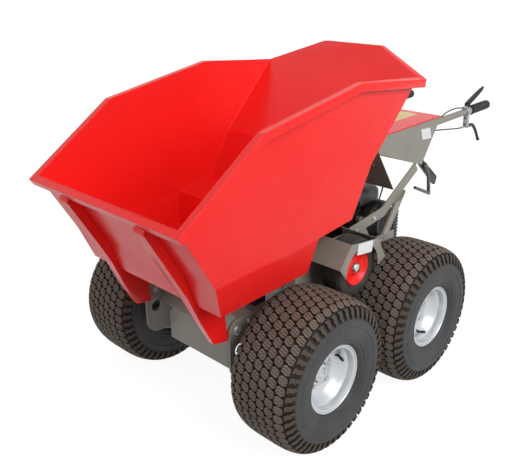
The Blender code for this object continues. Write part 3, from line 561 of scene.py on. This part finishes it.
def makeRim(name):
    g = rimGuide
    middle = wheelMiddles[name]
    sign = 1 if name.endswith("left") else -1
    heap = Heap()
    heap.add(*spun(rimProfile(), g["steps"], middle, sign))
    made = heap.piece("wheelRim_" + name, finishes["silver_paint"], "wheel_" + name, 50, "silver_paint")
    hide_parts("rim_" + name)
    nuts = Heap()
    for k in range(g["nuts"]):
        turn = 2 * math.pi * k / g["nuts"] + .4
        around = g["nutRadius"] * math.cos(turn), g["nutRadius"] * math.sin(turn)
        place = middle + (sign * (g["face"] - .0006), *around)
        bolt(nuts, place, axisY * sign, axisZ, .011)
    nuts.piece("wheelNuts_" + name, finishes["bright_steel"], "wheel_" + name, 35, "bright_steel")
    cap = [(0, .004), (.0170, .004), (.0185, .009), (.0225, .011), (.0275, .009), (.0300, .003),
           (.0300, -.004), (0, -.004)]
    base = middle + (sign * (g["face"] + .001), 0, 0)
    made = roundCaps("hubCap_" + name, [cap], 40, [base], [sign], finishes["silver_paint"], "wheel_" + name,
                     slot="silver_paint")
    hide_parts("hub_" + name)
    hub = [(.0335, .0), (.060, .0), (.062, -.002), (.062, -.011), (.040, -.013), (.036, -.020), (.036, -.197),
           (.024, -.197), (.024, .0)]
    heap = Heap()
    heap.add(*spun([(r, a + g["back"]) for r, a in hub], 48, middle, sign))
    heap.piece("hubBody_" + name, finishes["silver_paint"], "wheel_" + name, 40, "silver_paint")
    turn = math.radians(30 if name.startswith("front") else -90)
    out = np.array([0, math.cos(turn), math.sin(turn)])
    root = middle + out * .078 + axisX * sign * (g["face"] + .010)
    path = [root, root + axisX * sign * .012 - out * .002, root + axisX * sign * .034 - out * .010]
    heap = Heap()
    stemRadii = [.0068, .0064, .005, .0046, .0044, .0044, .005, .005, .0046]
    heap.add(*tubeAlong(smoothPath(path, len(stemRadii)), stemRadii, 16))
    heap.piece("valveStem_" + name, finishes["black_plastic"], "wheel_" + name, 40, "black_plastic")


for wheelName in wheelNames:
    makeRim(wheelName)
print("rims made")


# drive wheels: finely ribbed rubber on a dished red rim with a domed cap
driveGuide = {"radius": .1036, "half": .0408, "rim": .0605, "ribs": 11, "ribDepth": .0022}


def makeDriveWheel(side, sign):
    g = driveGuide
    middle = driveMiddles[side]
    x = np.linspace(g["half"] - .010, -g["half"] + .010, g["ribs"] * 6 + 1)
    wave = np.clip(np.cos((x / (2 * g["half"] - .02)) * 2 * np.pi * g["ribs"]) * 2.4, -1, 1)
    crown = g["radius"] - .003 * (x / g["half"]) ** 2 - g["ribDepth"] * (1 - wave) / 2
    tread = list(zip(crown, x))
    flank = [(g["rim"], g["half"] - .008), (g["rim"] + .006, g["half"] - .003), (g["rim"] + .014, g["half"]),
             (g["radius"] - .018, g["half"] - .0005), (g["radius"] - .008, g["half"] - .004)]
    inner = [(r, -a) for r, a in flank[::-1]]
    heap = Heap().add(*spun(flank + tread + inner, 110, middle, sign))
    made = heap.piece("driveTread_" + side, driveRubber, "drive_wheel_" + side, 30, "tyre_rubber")
    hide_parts("drive_tyre_" + side)
    rim, half = g["rim"], g["half"]
    dish = [(rim, half - .006), (rim - .002, half - .003), (rim - .005, half - .004),
            (rim - .010, half - .012), (.044, half - .018), (.036, half - .020), (.028, half - .016),
            (.022, half - .015), (.0126, half - .015), (.0126, -half + .006), (.022, -half + .006),
            (.024, half - .030), (.050, half - .026), (rim - .005, half - .030),
            (rim - .005, -half + .004), (rim, -half + .004)]
    heap = Heap().add(*spun(dish, 96, middle, sign))
    made = heap.piece("driveRim_" + side, finishes["red_paint"], "drive_wheel_" + side, 40, "red_paint")
    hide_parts("drive_rim_" + side)
    dome = [(0, .018), (.006, .0175), (.012, .015), (.0165, .010), (.019, .003), (.020, -.002), (0, -.002)]
    roundCaps("driveCap_" + side, [dome], 40, [middle + axisX * sign * (g["half"] - .0145)], [sign],
              finishes["bright_steel"], "drive_wheel_" + side, slot="bright_steel")
    root = middle + (sign * (g["half"] - .016), .012, .044)
    stem = smoothPath([root, root + (sign * .006, .004, .001), root + (sign * .012, .020, .002)], 6)
    heap = Heap().add(*tubeAlong(stem, .0028, 12))
    heap.piece("driveValve_" + side, castSilver, "drive_wheel_" + side, 40, "bright_steel")


for sideName, sideSign in sides:
    makeDriveWheel(sideName, sideSign)
print("drive wheels made")


# sheet and plate: each folded or cut edge is eased by its own radius
easedEdges = {"skip_tub": .0022, "skip_rim": .0012, "skip_channel_left": .0018, "skip_channel_right": .0018,
              "skip_hinge_arm_left": .001, "skip_hinge_arm_right": .001, "chassis_side_plate_left": .0014,
              "chassis_side_plate_right": .0014, "chassis_front_plate": .0014, "chassis_deck": .0008,
              "drive_guard_left": .0014, "drive_guard_right": .0014, "handle_bar_left": .001,
              "handle_bar_right": .001, "console_shell": .0013, "console_lid": .001}


def easedCopy(nodeName, width):
    # the node's shape with its doubles merged, flat triangles joined, and a rounded edge
    mesh = nodes[nodeName].data.copy()
    shell = bmesh.new()
    shell.from_mesh(mesh)
    bmesh.ops.remove_doubles(shell, verts=shell.verts, dist=2e-5)
    bmesh.ops.dissolve_limit(shell, angle_limit=math.radians(.6), verts=shell.verts, edges=shell.edges)
    shell.to_mesh(mesh)
    shell.free()
    made = bpy.data.objects.new("eased_" + nodeName, mesh)
    bpy.context.scene.collection.objects.link(made)
    mesh.shade_smooth()
    mesh.set_sharp_from_angle(angle=math.radians(60))
    bevel = made.modifiers.new("Bevel", "BEVEL")
    bevel.width = width
    bevel.segments = 3
    bevel.limit_method = "ANGLE"
    bevel.angle_limit = math.radians(12)
    bevel.use_clamp_overlap = True
    bevel.harden_normals = True
    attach(made, nodes[nodeName]["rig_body"])
    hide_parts(nodeName)


for nodeName, edgeWidth in easedEdges.items():
    easedCopy(nodeName, edgeWidth)
print("sheet edges eased")


# pins, bolts and welds
# the node whose outer face the bolts stand on, their size, with a washer or not, and their (y, z)
boltGuide = (("chassis_side_plate_", .010, True, ((-.371, .394), (-.200, .440), (.265, .450),
                                                  (.335, .450), (-.120, .300), (.120, .300))),
             ("drive_guard_", .0052, False, ((-.034, .515), (.092, .500))),
             ("chassis_side_plate_", .009, True, ((.180, .538),)),
             ("handle_bar_", .009, True, ((.290, .5535),)))
chassisBolts = Heap()
for sideName, sideSign in sides:
    for stem, size, washer, places in boltGuide:
        low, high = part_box(stem + sideName)
        faceX = high.x if sideSign > 0 else low.x
        for y, z in places:
            bolt(chassisBolts, at(faceX, y, z), axisY * sideSign, axisZ, size, washer)
chassisBolts.piece("chassisBolts", finishes["bright_steel"], "chassis", 35, "bright_steel")

for sideName, sideSign in sides:
    low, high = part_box("pivot_pin_" + sideName)
    pinEnd = high.x if sideSign > 0 else low.x
    middle = np.array([pinEnd, (low.y + high.y) / 2, (low.z + high.z) / 2])
    head = [(0, .0), (.006, -.0006), (.011, -.0025), (.0145, -.0055), (.016, -.0065), (.010, -.0068),
            (.010, -.028), (0, -.028)]
    made = roundCaps("pivotBolt_" + sideName, [head], 40, [middle], [sideSign],
                     finishes["silver_paint"], "chassis", slot="bright_steel")
    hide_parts("pivot_pin_" + sideName)

plateLow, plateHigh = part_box("chassis_front_plate")
welds = Heap()
for sideName, sideSign in sides:
    x = sideSign * (plateHigh.x - .002)
    count = 44
    y = np.linspace(-.397, -.336, count)
    bead = np.stack([np.full(count, x), y + midY, .320 + (y + .397) / .061 * .076], 1)
    welds.add(*tubeAlong(bead, .0022 + .0006 * np.sin(np.arange(count) * 2.1), 10))
welds.piece("plateWelds", finishes["grey_paint"], "chassis", 60, "grey_paint")

caps = Heap()
for sideName, sideSign in sides:
    channelLow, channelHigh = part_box("skip_channel_" + sideName)
    inner, outer = (channelLow.x, channelHigh.x)
    outline = [(-.7085, .7915), (-.7355, .7765), (-.7375, .7835), (-.7205, .8125)]
    thick = outer - inner - .001
    caps.add(*prism([(y + midY, z) for y, z in outline], (inner + .0005, 0, 0), axisY, axisZ, thick, .001))
caps.piece("channelCaps", finishes["red_paint"], "skip", 35, "red_paint")
print("pins, bolts and welds made")


# handle: round bars, ribbed grips, clamps, levers and their cables
gripGuide = {"radius": .0192, "flange": .0205, "length": .150, "rings": 16}
leverPath = [(.945, .8692), (.947, .8800), (.958, .8875), (1.069, .936)]
bracePath = [(.9655, .7870), (.985, .7865), (1.010, .7830), (1.040, .7570), (1.062, .728), (1.078, .705)]


def alongBar(side):
    # the bar's own ends, from its box: it runs up from the console's back to the grip
    low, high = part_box("handlebar_" + side)
    x = (low.x + high.x) / 2
    rise = (high.z - low.z - .026) / (high.y - low.y)
    start = np.array([x, low.y + .004, low.z + .0135])
    end = np.array([x, high.y, low.z + .0135 + rise * (high.y - low.y - .004)])
    return start, end


for sideName, sideSign in sides:
    start, end = alongBar(sideName)
    direction = (end - start) / np.linalg.norm(end - start)
    normal = np.cross(axisX, direction)
    bar = Heap().add(*tubeAlong(np.linspace(start, end, 6), .013, 40))
    made = bar.piece("roundBar_" + sideName, finishes["grey_paint"], "chassis", 40, "grey_paint")
    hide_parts("handlebar_" + sideName)
    tip = end + direction * .006
    g = gripGuide
    along = np.concatenate([[0, 0, .002, .004, .0045], np.linspace(.010, g["length"] - .012, g["rings"] * 6),
                            [g["length"] - .006, g["length"] - .002, g["length"], g["length"]]])
    ripple = .0007 * np.clip(np.sin(np.linspace(0, g["rings"] * 2 * np.pi, g["rings"] * 6)) * 2, -1, 1)
    radii = np.concatenate([[.002, g["flange"] - .001, g["flange"], g["flange"], g["radius"] - .001],
                            g["radius"] - .0008 + ripple,
                            [g["radius"] - .001, g["radius"] - .004, .011, .001]])
    root = tip - direction * g["length"]
    along = along + np.arange(len(along)) * 1e-7  # no two rings in quite the same place
    grip = Heap().add(*tubeAlong(root + direction * along[:, None], radii, 40))
    made = grip.piece("ribbedGrip_" + sideName, finishes["black_plastic"], "chassis", 40, "black_plastic")
    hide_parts("grip_" + sideName)
    # clamp: a split ring with ears, its bolt, and the stop that holds the upper cable
    x = start[0]
    clampAt = start + direction * ((.945 + midY - start[1]) / direction[1])
    clamp = Heap()
    ring = [clampAt + direction * s for s in (-.015, -.0148, -.013, .013, .0148, .015)]
    clamp.add(*tubeAlong(ring, [.0145, .0168, .018, .018, .0168, .0145], 40))
    ear = clampAt + normal * .017 - axisX * .007
    clamp.add(*prism(roundedBox(.024, .012, .003), ear, direction, normal, .014, .001))
    cableStop = [clampAt - direction * back + normal * .021 for back in (.034, .030, .012)]
    clamp.add(*tubeAlong(cableStop, [.0035, .0048, .0048], 16))
    made = clamp.piece("leverClamp_" + sideName, castSilver, "chassis", 35, "bright_steel")
    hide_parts("lever_clamp_" + sideName)
    # upper lever: a broad pressed blade with a rounded tip
    blade = np.array([at(x, *point) for point in leverPath])
    path = smoothPath(blade, 18)
    run = np.gradient(path, axis=0)
    run /= np.linalg.norm(run, axis=1)[:, None]
    up = np.cross(axisX, run)
    width = .0115 * np.sqrt(np.clip(1 - np.linspace(-.75, 1, 18) ** 6, .05, 1)) + .0015
    turn = np.linspace(0, 2 * np.pi, 20, endpoint=False)[None, :, None]
    rings = (path[:, None] + width[:, None, None] * np.cos(turn) * axisX + .0055 * np.sin(turn) * up[:, None])
    faces = gridFaces(18, 20, False, True) + [list(range(20)), list(range(340, 360))]
    lever = Heap().add(rings, faces)
    made = lever.piece("handLever_" + sideName, finishes["black_plastic"], "chassis", 50, "black_plastic")
    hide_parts("hand_lever_" + sideName)
    # bracket: two cheeks and the cable stop under the bar
    bracket = Heap()
    cheek = [(.9375, .8330), (.9415, .7805), (.9635, .7795), (.9585, .8330)]
    for offset in (-.0078, .0048):
        bracket.add(*prism([(y + midY, z) for y, z in cheek], (x + offset, 0, 0), axisY, axisZ, .003, .0006))
    bracket.add(*tubeAlong([at(x - .006, .9500, .8200), at(x + .006, .9500, .8200)], .0055, 16))
    cableStop = [at(x, .905, .7868), at(x, .912, .7868), at(x, .945, .7870)]
    bracket.add(*tubeAlong(cableStop, [.0032, .0046, .0046], 16))
    bolt(bracket, at(x + .0078, .9525, .7890), axisY, axisZ, .0062, False)
    made = bracket.piece("leverBracket_" + sideName, castSilver, "chassis", 35, "bright_steel")
    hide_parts("lever_bracket_" + sideName)
    # brake lever: a round-backed blade that ends in a ball
    path = smoothPath([at(x, *point) for point in bracePath], 26)
    shares = [0, .12, .3, .8, .93, .96, 1]
    radii = np.interp(np.linspace(0, 1, 26), shares, [.0066, .0080, .0070, .0058, .0062, .0080, .0040])
    brake = Heap().add(*tubeAlong(path, radii, 20))
    made = brake.piece("brakeLever_" + sideName, finishes["black_plastic"], "chassis", 60, "black_plastic")
    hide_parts("brake_lever_" + sideName)
print("handle made")


# cables: each goes from a lever or the console back into the machine
cableRoutes = {
    "cableUpper": {"diameter": .005, "knots": [(.910, .8695), (.885, .8730), (.850, .8765), (.800, .8740),
                                               (.750, .8620), (.714, .8440)]},
    "cableLower": {"diameter": .005, "knots": [(.905, .7868), (.880, .7885), (.840, .7935), (.790, .7995),
                                               (.740, .8060), (.668, .8130)]},
}


def makeCable(name, points, diameter, finish):
    path = smoothPath(points, 30)
    heap = Heap().add(*tubeAlong(path, diameter / 2, 14))
    made = heap.piece(name, finish, "chassis", 60, "black_plastic")


for sideName, sideSign in sides:
    x = alongBar(sideName)[0][0]
    for cableName, route in cableRoutes.items():
        knots = [at(x, y, z) for y, z in route["knots"]]
        makeCable(cableName + "_" + sideName, knots, route["diameter"], finishes["black_plastic"])
throttle = [(.120, .440, .700), (.126, .462, .672), (.129, .458, .640), (.127, .447, .600),
            (.122, .438, .565), (.110, .428, .540)]
makeCable("cableThrottle", [at(*point) for point in throttle], .006, finishes["black_plastic"])
print("cables made")


# console: lid field, blank plate, bolts inside the front wall, rear strap and latch pad
consoleLow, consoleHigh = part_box("console_shell")
lidLow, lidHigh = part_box("console_lid")
slope = (lidHigh.z - lidLow.z - .004) / (lidHigh.y - lidLow.y)
lidRun = np.array([0, 1, slope]) / math.hypot(1, slope)
lidRearY = .702


def onLid(x, y):
    # the point of the sloping lid above this place
    return at(x, y, lidHigh.z - slope * (lidRearY - y))


field = prism(roundedBox(.250, .300, .014), onLid(0, .520) - axisZ * .0005, axisX, lidRun, .0006)
Heap().add(*field).piece("lidField", labelCream, "chassis", 40)
lidScrews = Heap()
for x, y in ((-.190, .290), (.190, .290), (-.190, .680), (.190, .680)):
    bolt(lidScrews, onLid(x, y), axisX, lidRun, .0055, False)
lidScrews.piece("lidScrews", finishes["bright_steel"], "chassis", 35, "bright_steel")
plates = Heap()
sideX = consoleHigh.x
consolePlate = [(.563, .840), (.580, .797), (.644, .793), (.628, .837)]
plates.add(*prism(consolePlate, (sideX, midY, 0), axisY, axisZ, .0006))
guardLow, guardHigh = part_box("drive_guard_left")
guardPlate = [(-.036, .556), (.045, .5445), (.051, .584), (-.029, .593)]
plates.add(*prism(guardPlate, (guardHigh.x, midY, 0), axisY, axisZ, .0006))
plates.piece("blankPlates", labelWhite, "chassis", 40)
inside = Heap()
wallRun = np.array([0, .402 - .296, .637 - .793])
wallRun /= np.linalg.norm(wallRun)
for x in (.155, .095, -.095, -.155):
    place = at(x, .337, .7385) + np.cross(axisX, wallRun) * -.0005
    bolt(inside, place + np.array([0, .0035, .0024]), -axisX, wallRun, .011)
inside.piece("consoleBolts", finishes["bright_steel"], "chassis", 35, "bright_steel")
strap = Heap()
strapX = .198
corners = np.array([(.640, .6915), (.672, .640), (.687, .556), (.682, .549), (.590, .590), (.568, .601),
                    (.572, .611), (.6735, .5665), (.6605, .640), (.630, .686)])
strap.add(*prism([(y + midY, z) for y, z in corners], (strapX - .004, 0, 0), axisY, axisZ, .010))
strap.piece("latchStrap", steelDark, "chassis", 35, "grey_paint")
paddle = Heap()
pad = [(.6145, .7210), (.6000, .7020), (.742, .5765), (.749, .5760), (.7595, .6020), (.7570, .6100)]
paddle.add(*prism(pad, at(.1735, 0, 0), axisY, axisZ, .013, .003))
made = paddle.piece("latchPad", finishes["black_plastic"], "chassis", 50, "black_plastic")
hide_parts("latch_paddle")
print("console made")


# engine: finned block, ribbed recoil cover, tank, air filter, carburettor and muffler guard
def engineBox(name):
    low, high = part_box(name)
    return np.array(low), np.array(high)


low, high = engineBox("engine_recoil")
hub = np.array([low[0], (low[1] + high[1]) / 2, (low[2] + high[2]) / 2])
radius = (high[2] - low[2]) / 2
depth = high[0] - low[0]
shellProfile = [(0, depth - .004), (.030, depth - .004), (.034, depth - .001), (.052, depth - .001),
                (.056, depth - .004), (radius - .020, depth - .006), (radius - .006, depth - .016),
                (radius, depth - .028), (radius, .001), (0, .001)]
made = roundCaps("recoilCover", [shellProfile], 96, [hub], [1], engineBlack, "chassis", slot="black_plastic")
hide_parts("engine_recoil")
ribs = Heap()
for level in np.arange(-.066, .067, .011):
    half = math.sqrt(radius ** 2 - level ** 2) - .004
    y = np.linspace(-half, half, 15)
    bulge = depth - .0045 - .020 * np.abs(y / half) ** 4
    path = np.stack([hub[0] + bulge, hub[1] + y, np.full(15, hub[2] + level)], 1)
    ribs.add(*tubeAlong(path, .0036, 8))
for level in np.linspace(.404, .514, 9):
    ribs.add(*prism(roundedBox(.052, .102, .020), at(.1515, .466, level), axisX, axisY, .0055, .0012))
ribs.add(*prism(roundedBox(.036, .084, .014), at(.1480, .462, .404), axisX, axisY, .112))
ribs.piece("recoilRibs", engineBlack, "chassis", 50, "black_plastic")
low, high = engineBox("engine_block")
fins = Heap()
for level in np.linspace(.040, .118, 8):
    outline = roundedBox(high[0] - low[0] - .004, high[1] - low[1] - .004, .012)
    middle = np.array([(low[0] + high[0]) / 2, (low[1] + high[1]) / 2, low[2] + level])
    fins.add(*prism(outline, middle, axisX, axisY, .0035, .0006))
core = roundedBox(high[0] - low[0] - .024, high[1] - low[1] - .024, .014)
middle = np.array([(low[0] + high[0]) / 2, (low[1] + high[1]) / 2, low[2]])
fins.add(*prism(core, middle, axisX, axisY, high[2] - low[2], .003))
foot = roundedBox(high[0] - low[0], high[1] - low[1], .012)
fins.add(*prism(foot, middle, axisX, axisY, .030, .002))
made = fins.piece("finnedBlock", engineBlack, "chassis", 35, "black_plastic")
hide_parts("engine_block")
low, high = engineBox("engine_tank")
tank = Heap()
centre = (low + high) / 2
u = np.linspace(-np.pi / 2, np.pi / 2, 25)[:, None]
v = np.linspace(0, 2 * np.pi, 72, endpoint=False)[None]
# a box-like ball: each axis is sign(f) |f|^p of the sphere's own
ball = ((np.cos(u) * np.cos(v), .42), (np.cos(u) * np.sin(v), .42), (np.sin(u) + 0 * v, .5))
squared = [np.sign(f) * np.abs(f) ** p for f, p in ball]
points = np.stack([centre[k] + squared[k] * (high - low)[k] / 2 for k in range(3)], -1)
tank.add(points, gridFaces(25, 72, False, True))
made = tank.piece("fuelTank", enginePlastic, "chassis", 60, "black_plastic")
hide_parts("engine_tank")
low, high = engineBox("engine_air_filter")
centre = (low + high) / 2
filterBody = Heap()
outline = roundedBox(high[0] - low[0], high[1] - low[1], .016)
base = np.array([centre[0], centre[1], low[2]])
filterBody.add(*prism(outline, base, axisX, axisY, .020, .002))
filterBody.add(*prism(outline * .95, base + axisZ * .0195, axisX, axisY, high[2] - low[2] - .0195, .006))
filterBody.add(*prism(polygon(24, .012), base + axisZ * (high[2] - low[2] - .003), axisX, axisY, .003, .001))
made = filterBody.piece("airFilter", engineBlack, "chassis", 40, "black_plastic")
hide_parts("engine_air_filter")
carb = Heap()
for y, z, size in ((.300, .528, .012), (.318, .520, .015), (.334, .512, .010)):
    carb.add(*tubeAlong([at(.124, y, z), at(.1245, y, z), at(.142, y, z), at(.1424, y, z)],
                        [size * .8, size, size, size * .8], 24))
bowl = [at(.134, .316, z) for z in (.508, .486, .484)]
carb.add(*tubeAlong(bowl, [.013, .013, .009], 24))
bolt(carb, at(.1422, .318, .520), axisY, axisZ, .006, False)
carb.piece("carburettor", castSilver, "chassis", 40, "bright_steel")
plug = Heap()
plug.add(*tubeAlong([at(.02, .250, .500), at(.02, .236, .504), at(.02, .222, .508)], [.009, .008, .006], 16))
lead = [at(.02, .226, .507), at(.03, .214, .522), at(.06, .226, .546), at(.08, .262, .548)]
plug.add(*tubeAlong(smoothPath(lead, 16), .0035, 10))
plug.piece("sparkLead", engineBlack, "chassis", 50, "black_plastic")
low, high = engineBox("engine_muffler")
muffler = Heap()
size = high - low
middle = np.array([low[0], (low[1] + high[1]) / 2, (low[2] + high[2]) / 2])
muffler.add(*prism(roundedBox(size[1], size[2], .016), middle, axisY, axisZ, size[0], .006))
for level in np.linspace(-.034, .034, 7):
    path = [middle + np.array([-.0015, y, level]) for y in (-.066, -.064, .064, .066)]
    muffler.add(*tubeAlong(np.array(path) + axisX * .002, [.001, .0026, .0026, .001], 8))
made = muffler.piece("mufflerGuard", steelDark, "chassis", 35, "black_plastic")
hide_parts("engine_muffler")
print("engine made")


# the floor and all round it look white to the camera, and the floor keeps the shadow
stageGuide = {"half": 60.0, "ground": (168, 168, 168), "sky": .5, "shown": .5, "glow": 1.85}


def whiteShare(maker):
    # 1 for what the camera sees, straight, mirrored or through glass, else 0
    rays = ("Is Camera Ray", "Is Glossy Ray", "Is Transmission Ray")
    straight, mirrored, through = [maker.add("ShaderNodeLightPath", out=ray) for ray in rays]
    return (straight + mirrored + through).atMost(1)


def makeStage():
    mesh = bpy.data.meshes.new("floor")
    half = stageGuide["half"]
    corners = [(-half, -half, 0), (half, -half, 0), (half, half, 0), (-half, half, 0)]
    mesh.from_pydata(corners, [], [(0, 1, 2, 3)])
    floor = bpy.data.objects.new("floor", mesh)
    bpy.context.scene.collection.objects.link(floor)
    made = Finish("floorWhite", Roughness=.9, Specular_IOR_Level=.1)
    made.give(Base_Color=tint(*stageGuide["ground"]))
    glow = made.add("ShaderNodeEmission", {}, {"Color": (1, 1, 1, 1), "Strength": stageGuide["glow"]})
    own = Sock(made, made.shader.outputs[0])
    both = made.add("ShaderNodeMixShader", {}, {0: whiteShare(made) * stageGuide["shown"], 1: own, 2: glow})
    made.feed(made.nodes["Material Output"].inputs["Surface"], both)
    mesh.materials.append(made.material)
    world = bpy.data.worlds.new("studio")
    bpy.context.scene.world = world
    world.use_nodes = True
    sky = NodeMaker(world.node_tree)
    back = sky.nodes["Background"]
    sky.feed(back.inputs["Color"], (1, 1, 1, 1))
    sky.feed(back.inputs["Strength"], whiteShare(sky) * (1.05 - stageGuide["sky"]) + stageGuide["sky"])


def areaLamp(name, place, target, size, power):
    data = bpy.data.lights.new(name, "AREA")
    data.size = size
    data.energy = power
    lamp = bpy.data.objects.new(name, data)
    lamp.location = place
    lamp.rotation_euler = (Vector(target) - Vector(place)).to_track_quat("-Z", "Y").to_euler()
    bpy.context.scene.collection.objects.link(lamp)


cameraGuide = {"turn": 43.87, "down": 21.98, "lens": 46.2, "place": (1.542, -1.681, 1.426)}


def makeCamera():
    turn, down = math.radians(cameraGuide["turn"]), math.radians(cameraGuide["down"])
    data = bpy.data.cameras.new("camera")
    data.lens = cameraGuide["lens"]
    data.sensor_width = 36
    camera = bpy.data.objects.new("camera", data)
    camera.location = at(*cameraGuide["place"])
    sight = Vector((-math.sin(turn) * math.cos(down), math.cos(turn) * math.cos(down), -math.sin(down)))
    camera.rotation_euler = sight.to_track_quat("-Z", "Y").to_euler()
    bpy.context.scene.collection.objects.link(camera)
    bpy.context.scene.camera = camera


makeStage()
areaLamp("keyLamp", at(3.3, -.5, 2.7), at(0, 0, .5), 2.2, 95)
areaLamp("fillLamp", at(-1.6, -3.4, 2.2), at(0, 0, .6), 2.6, 10)
makeCamera()
bpy.context.scene.view_settings.view_transform = "Standard"
print("stage, lamps and camera made")
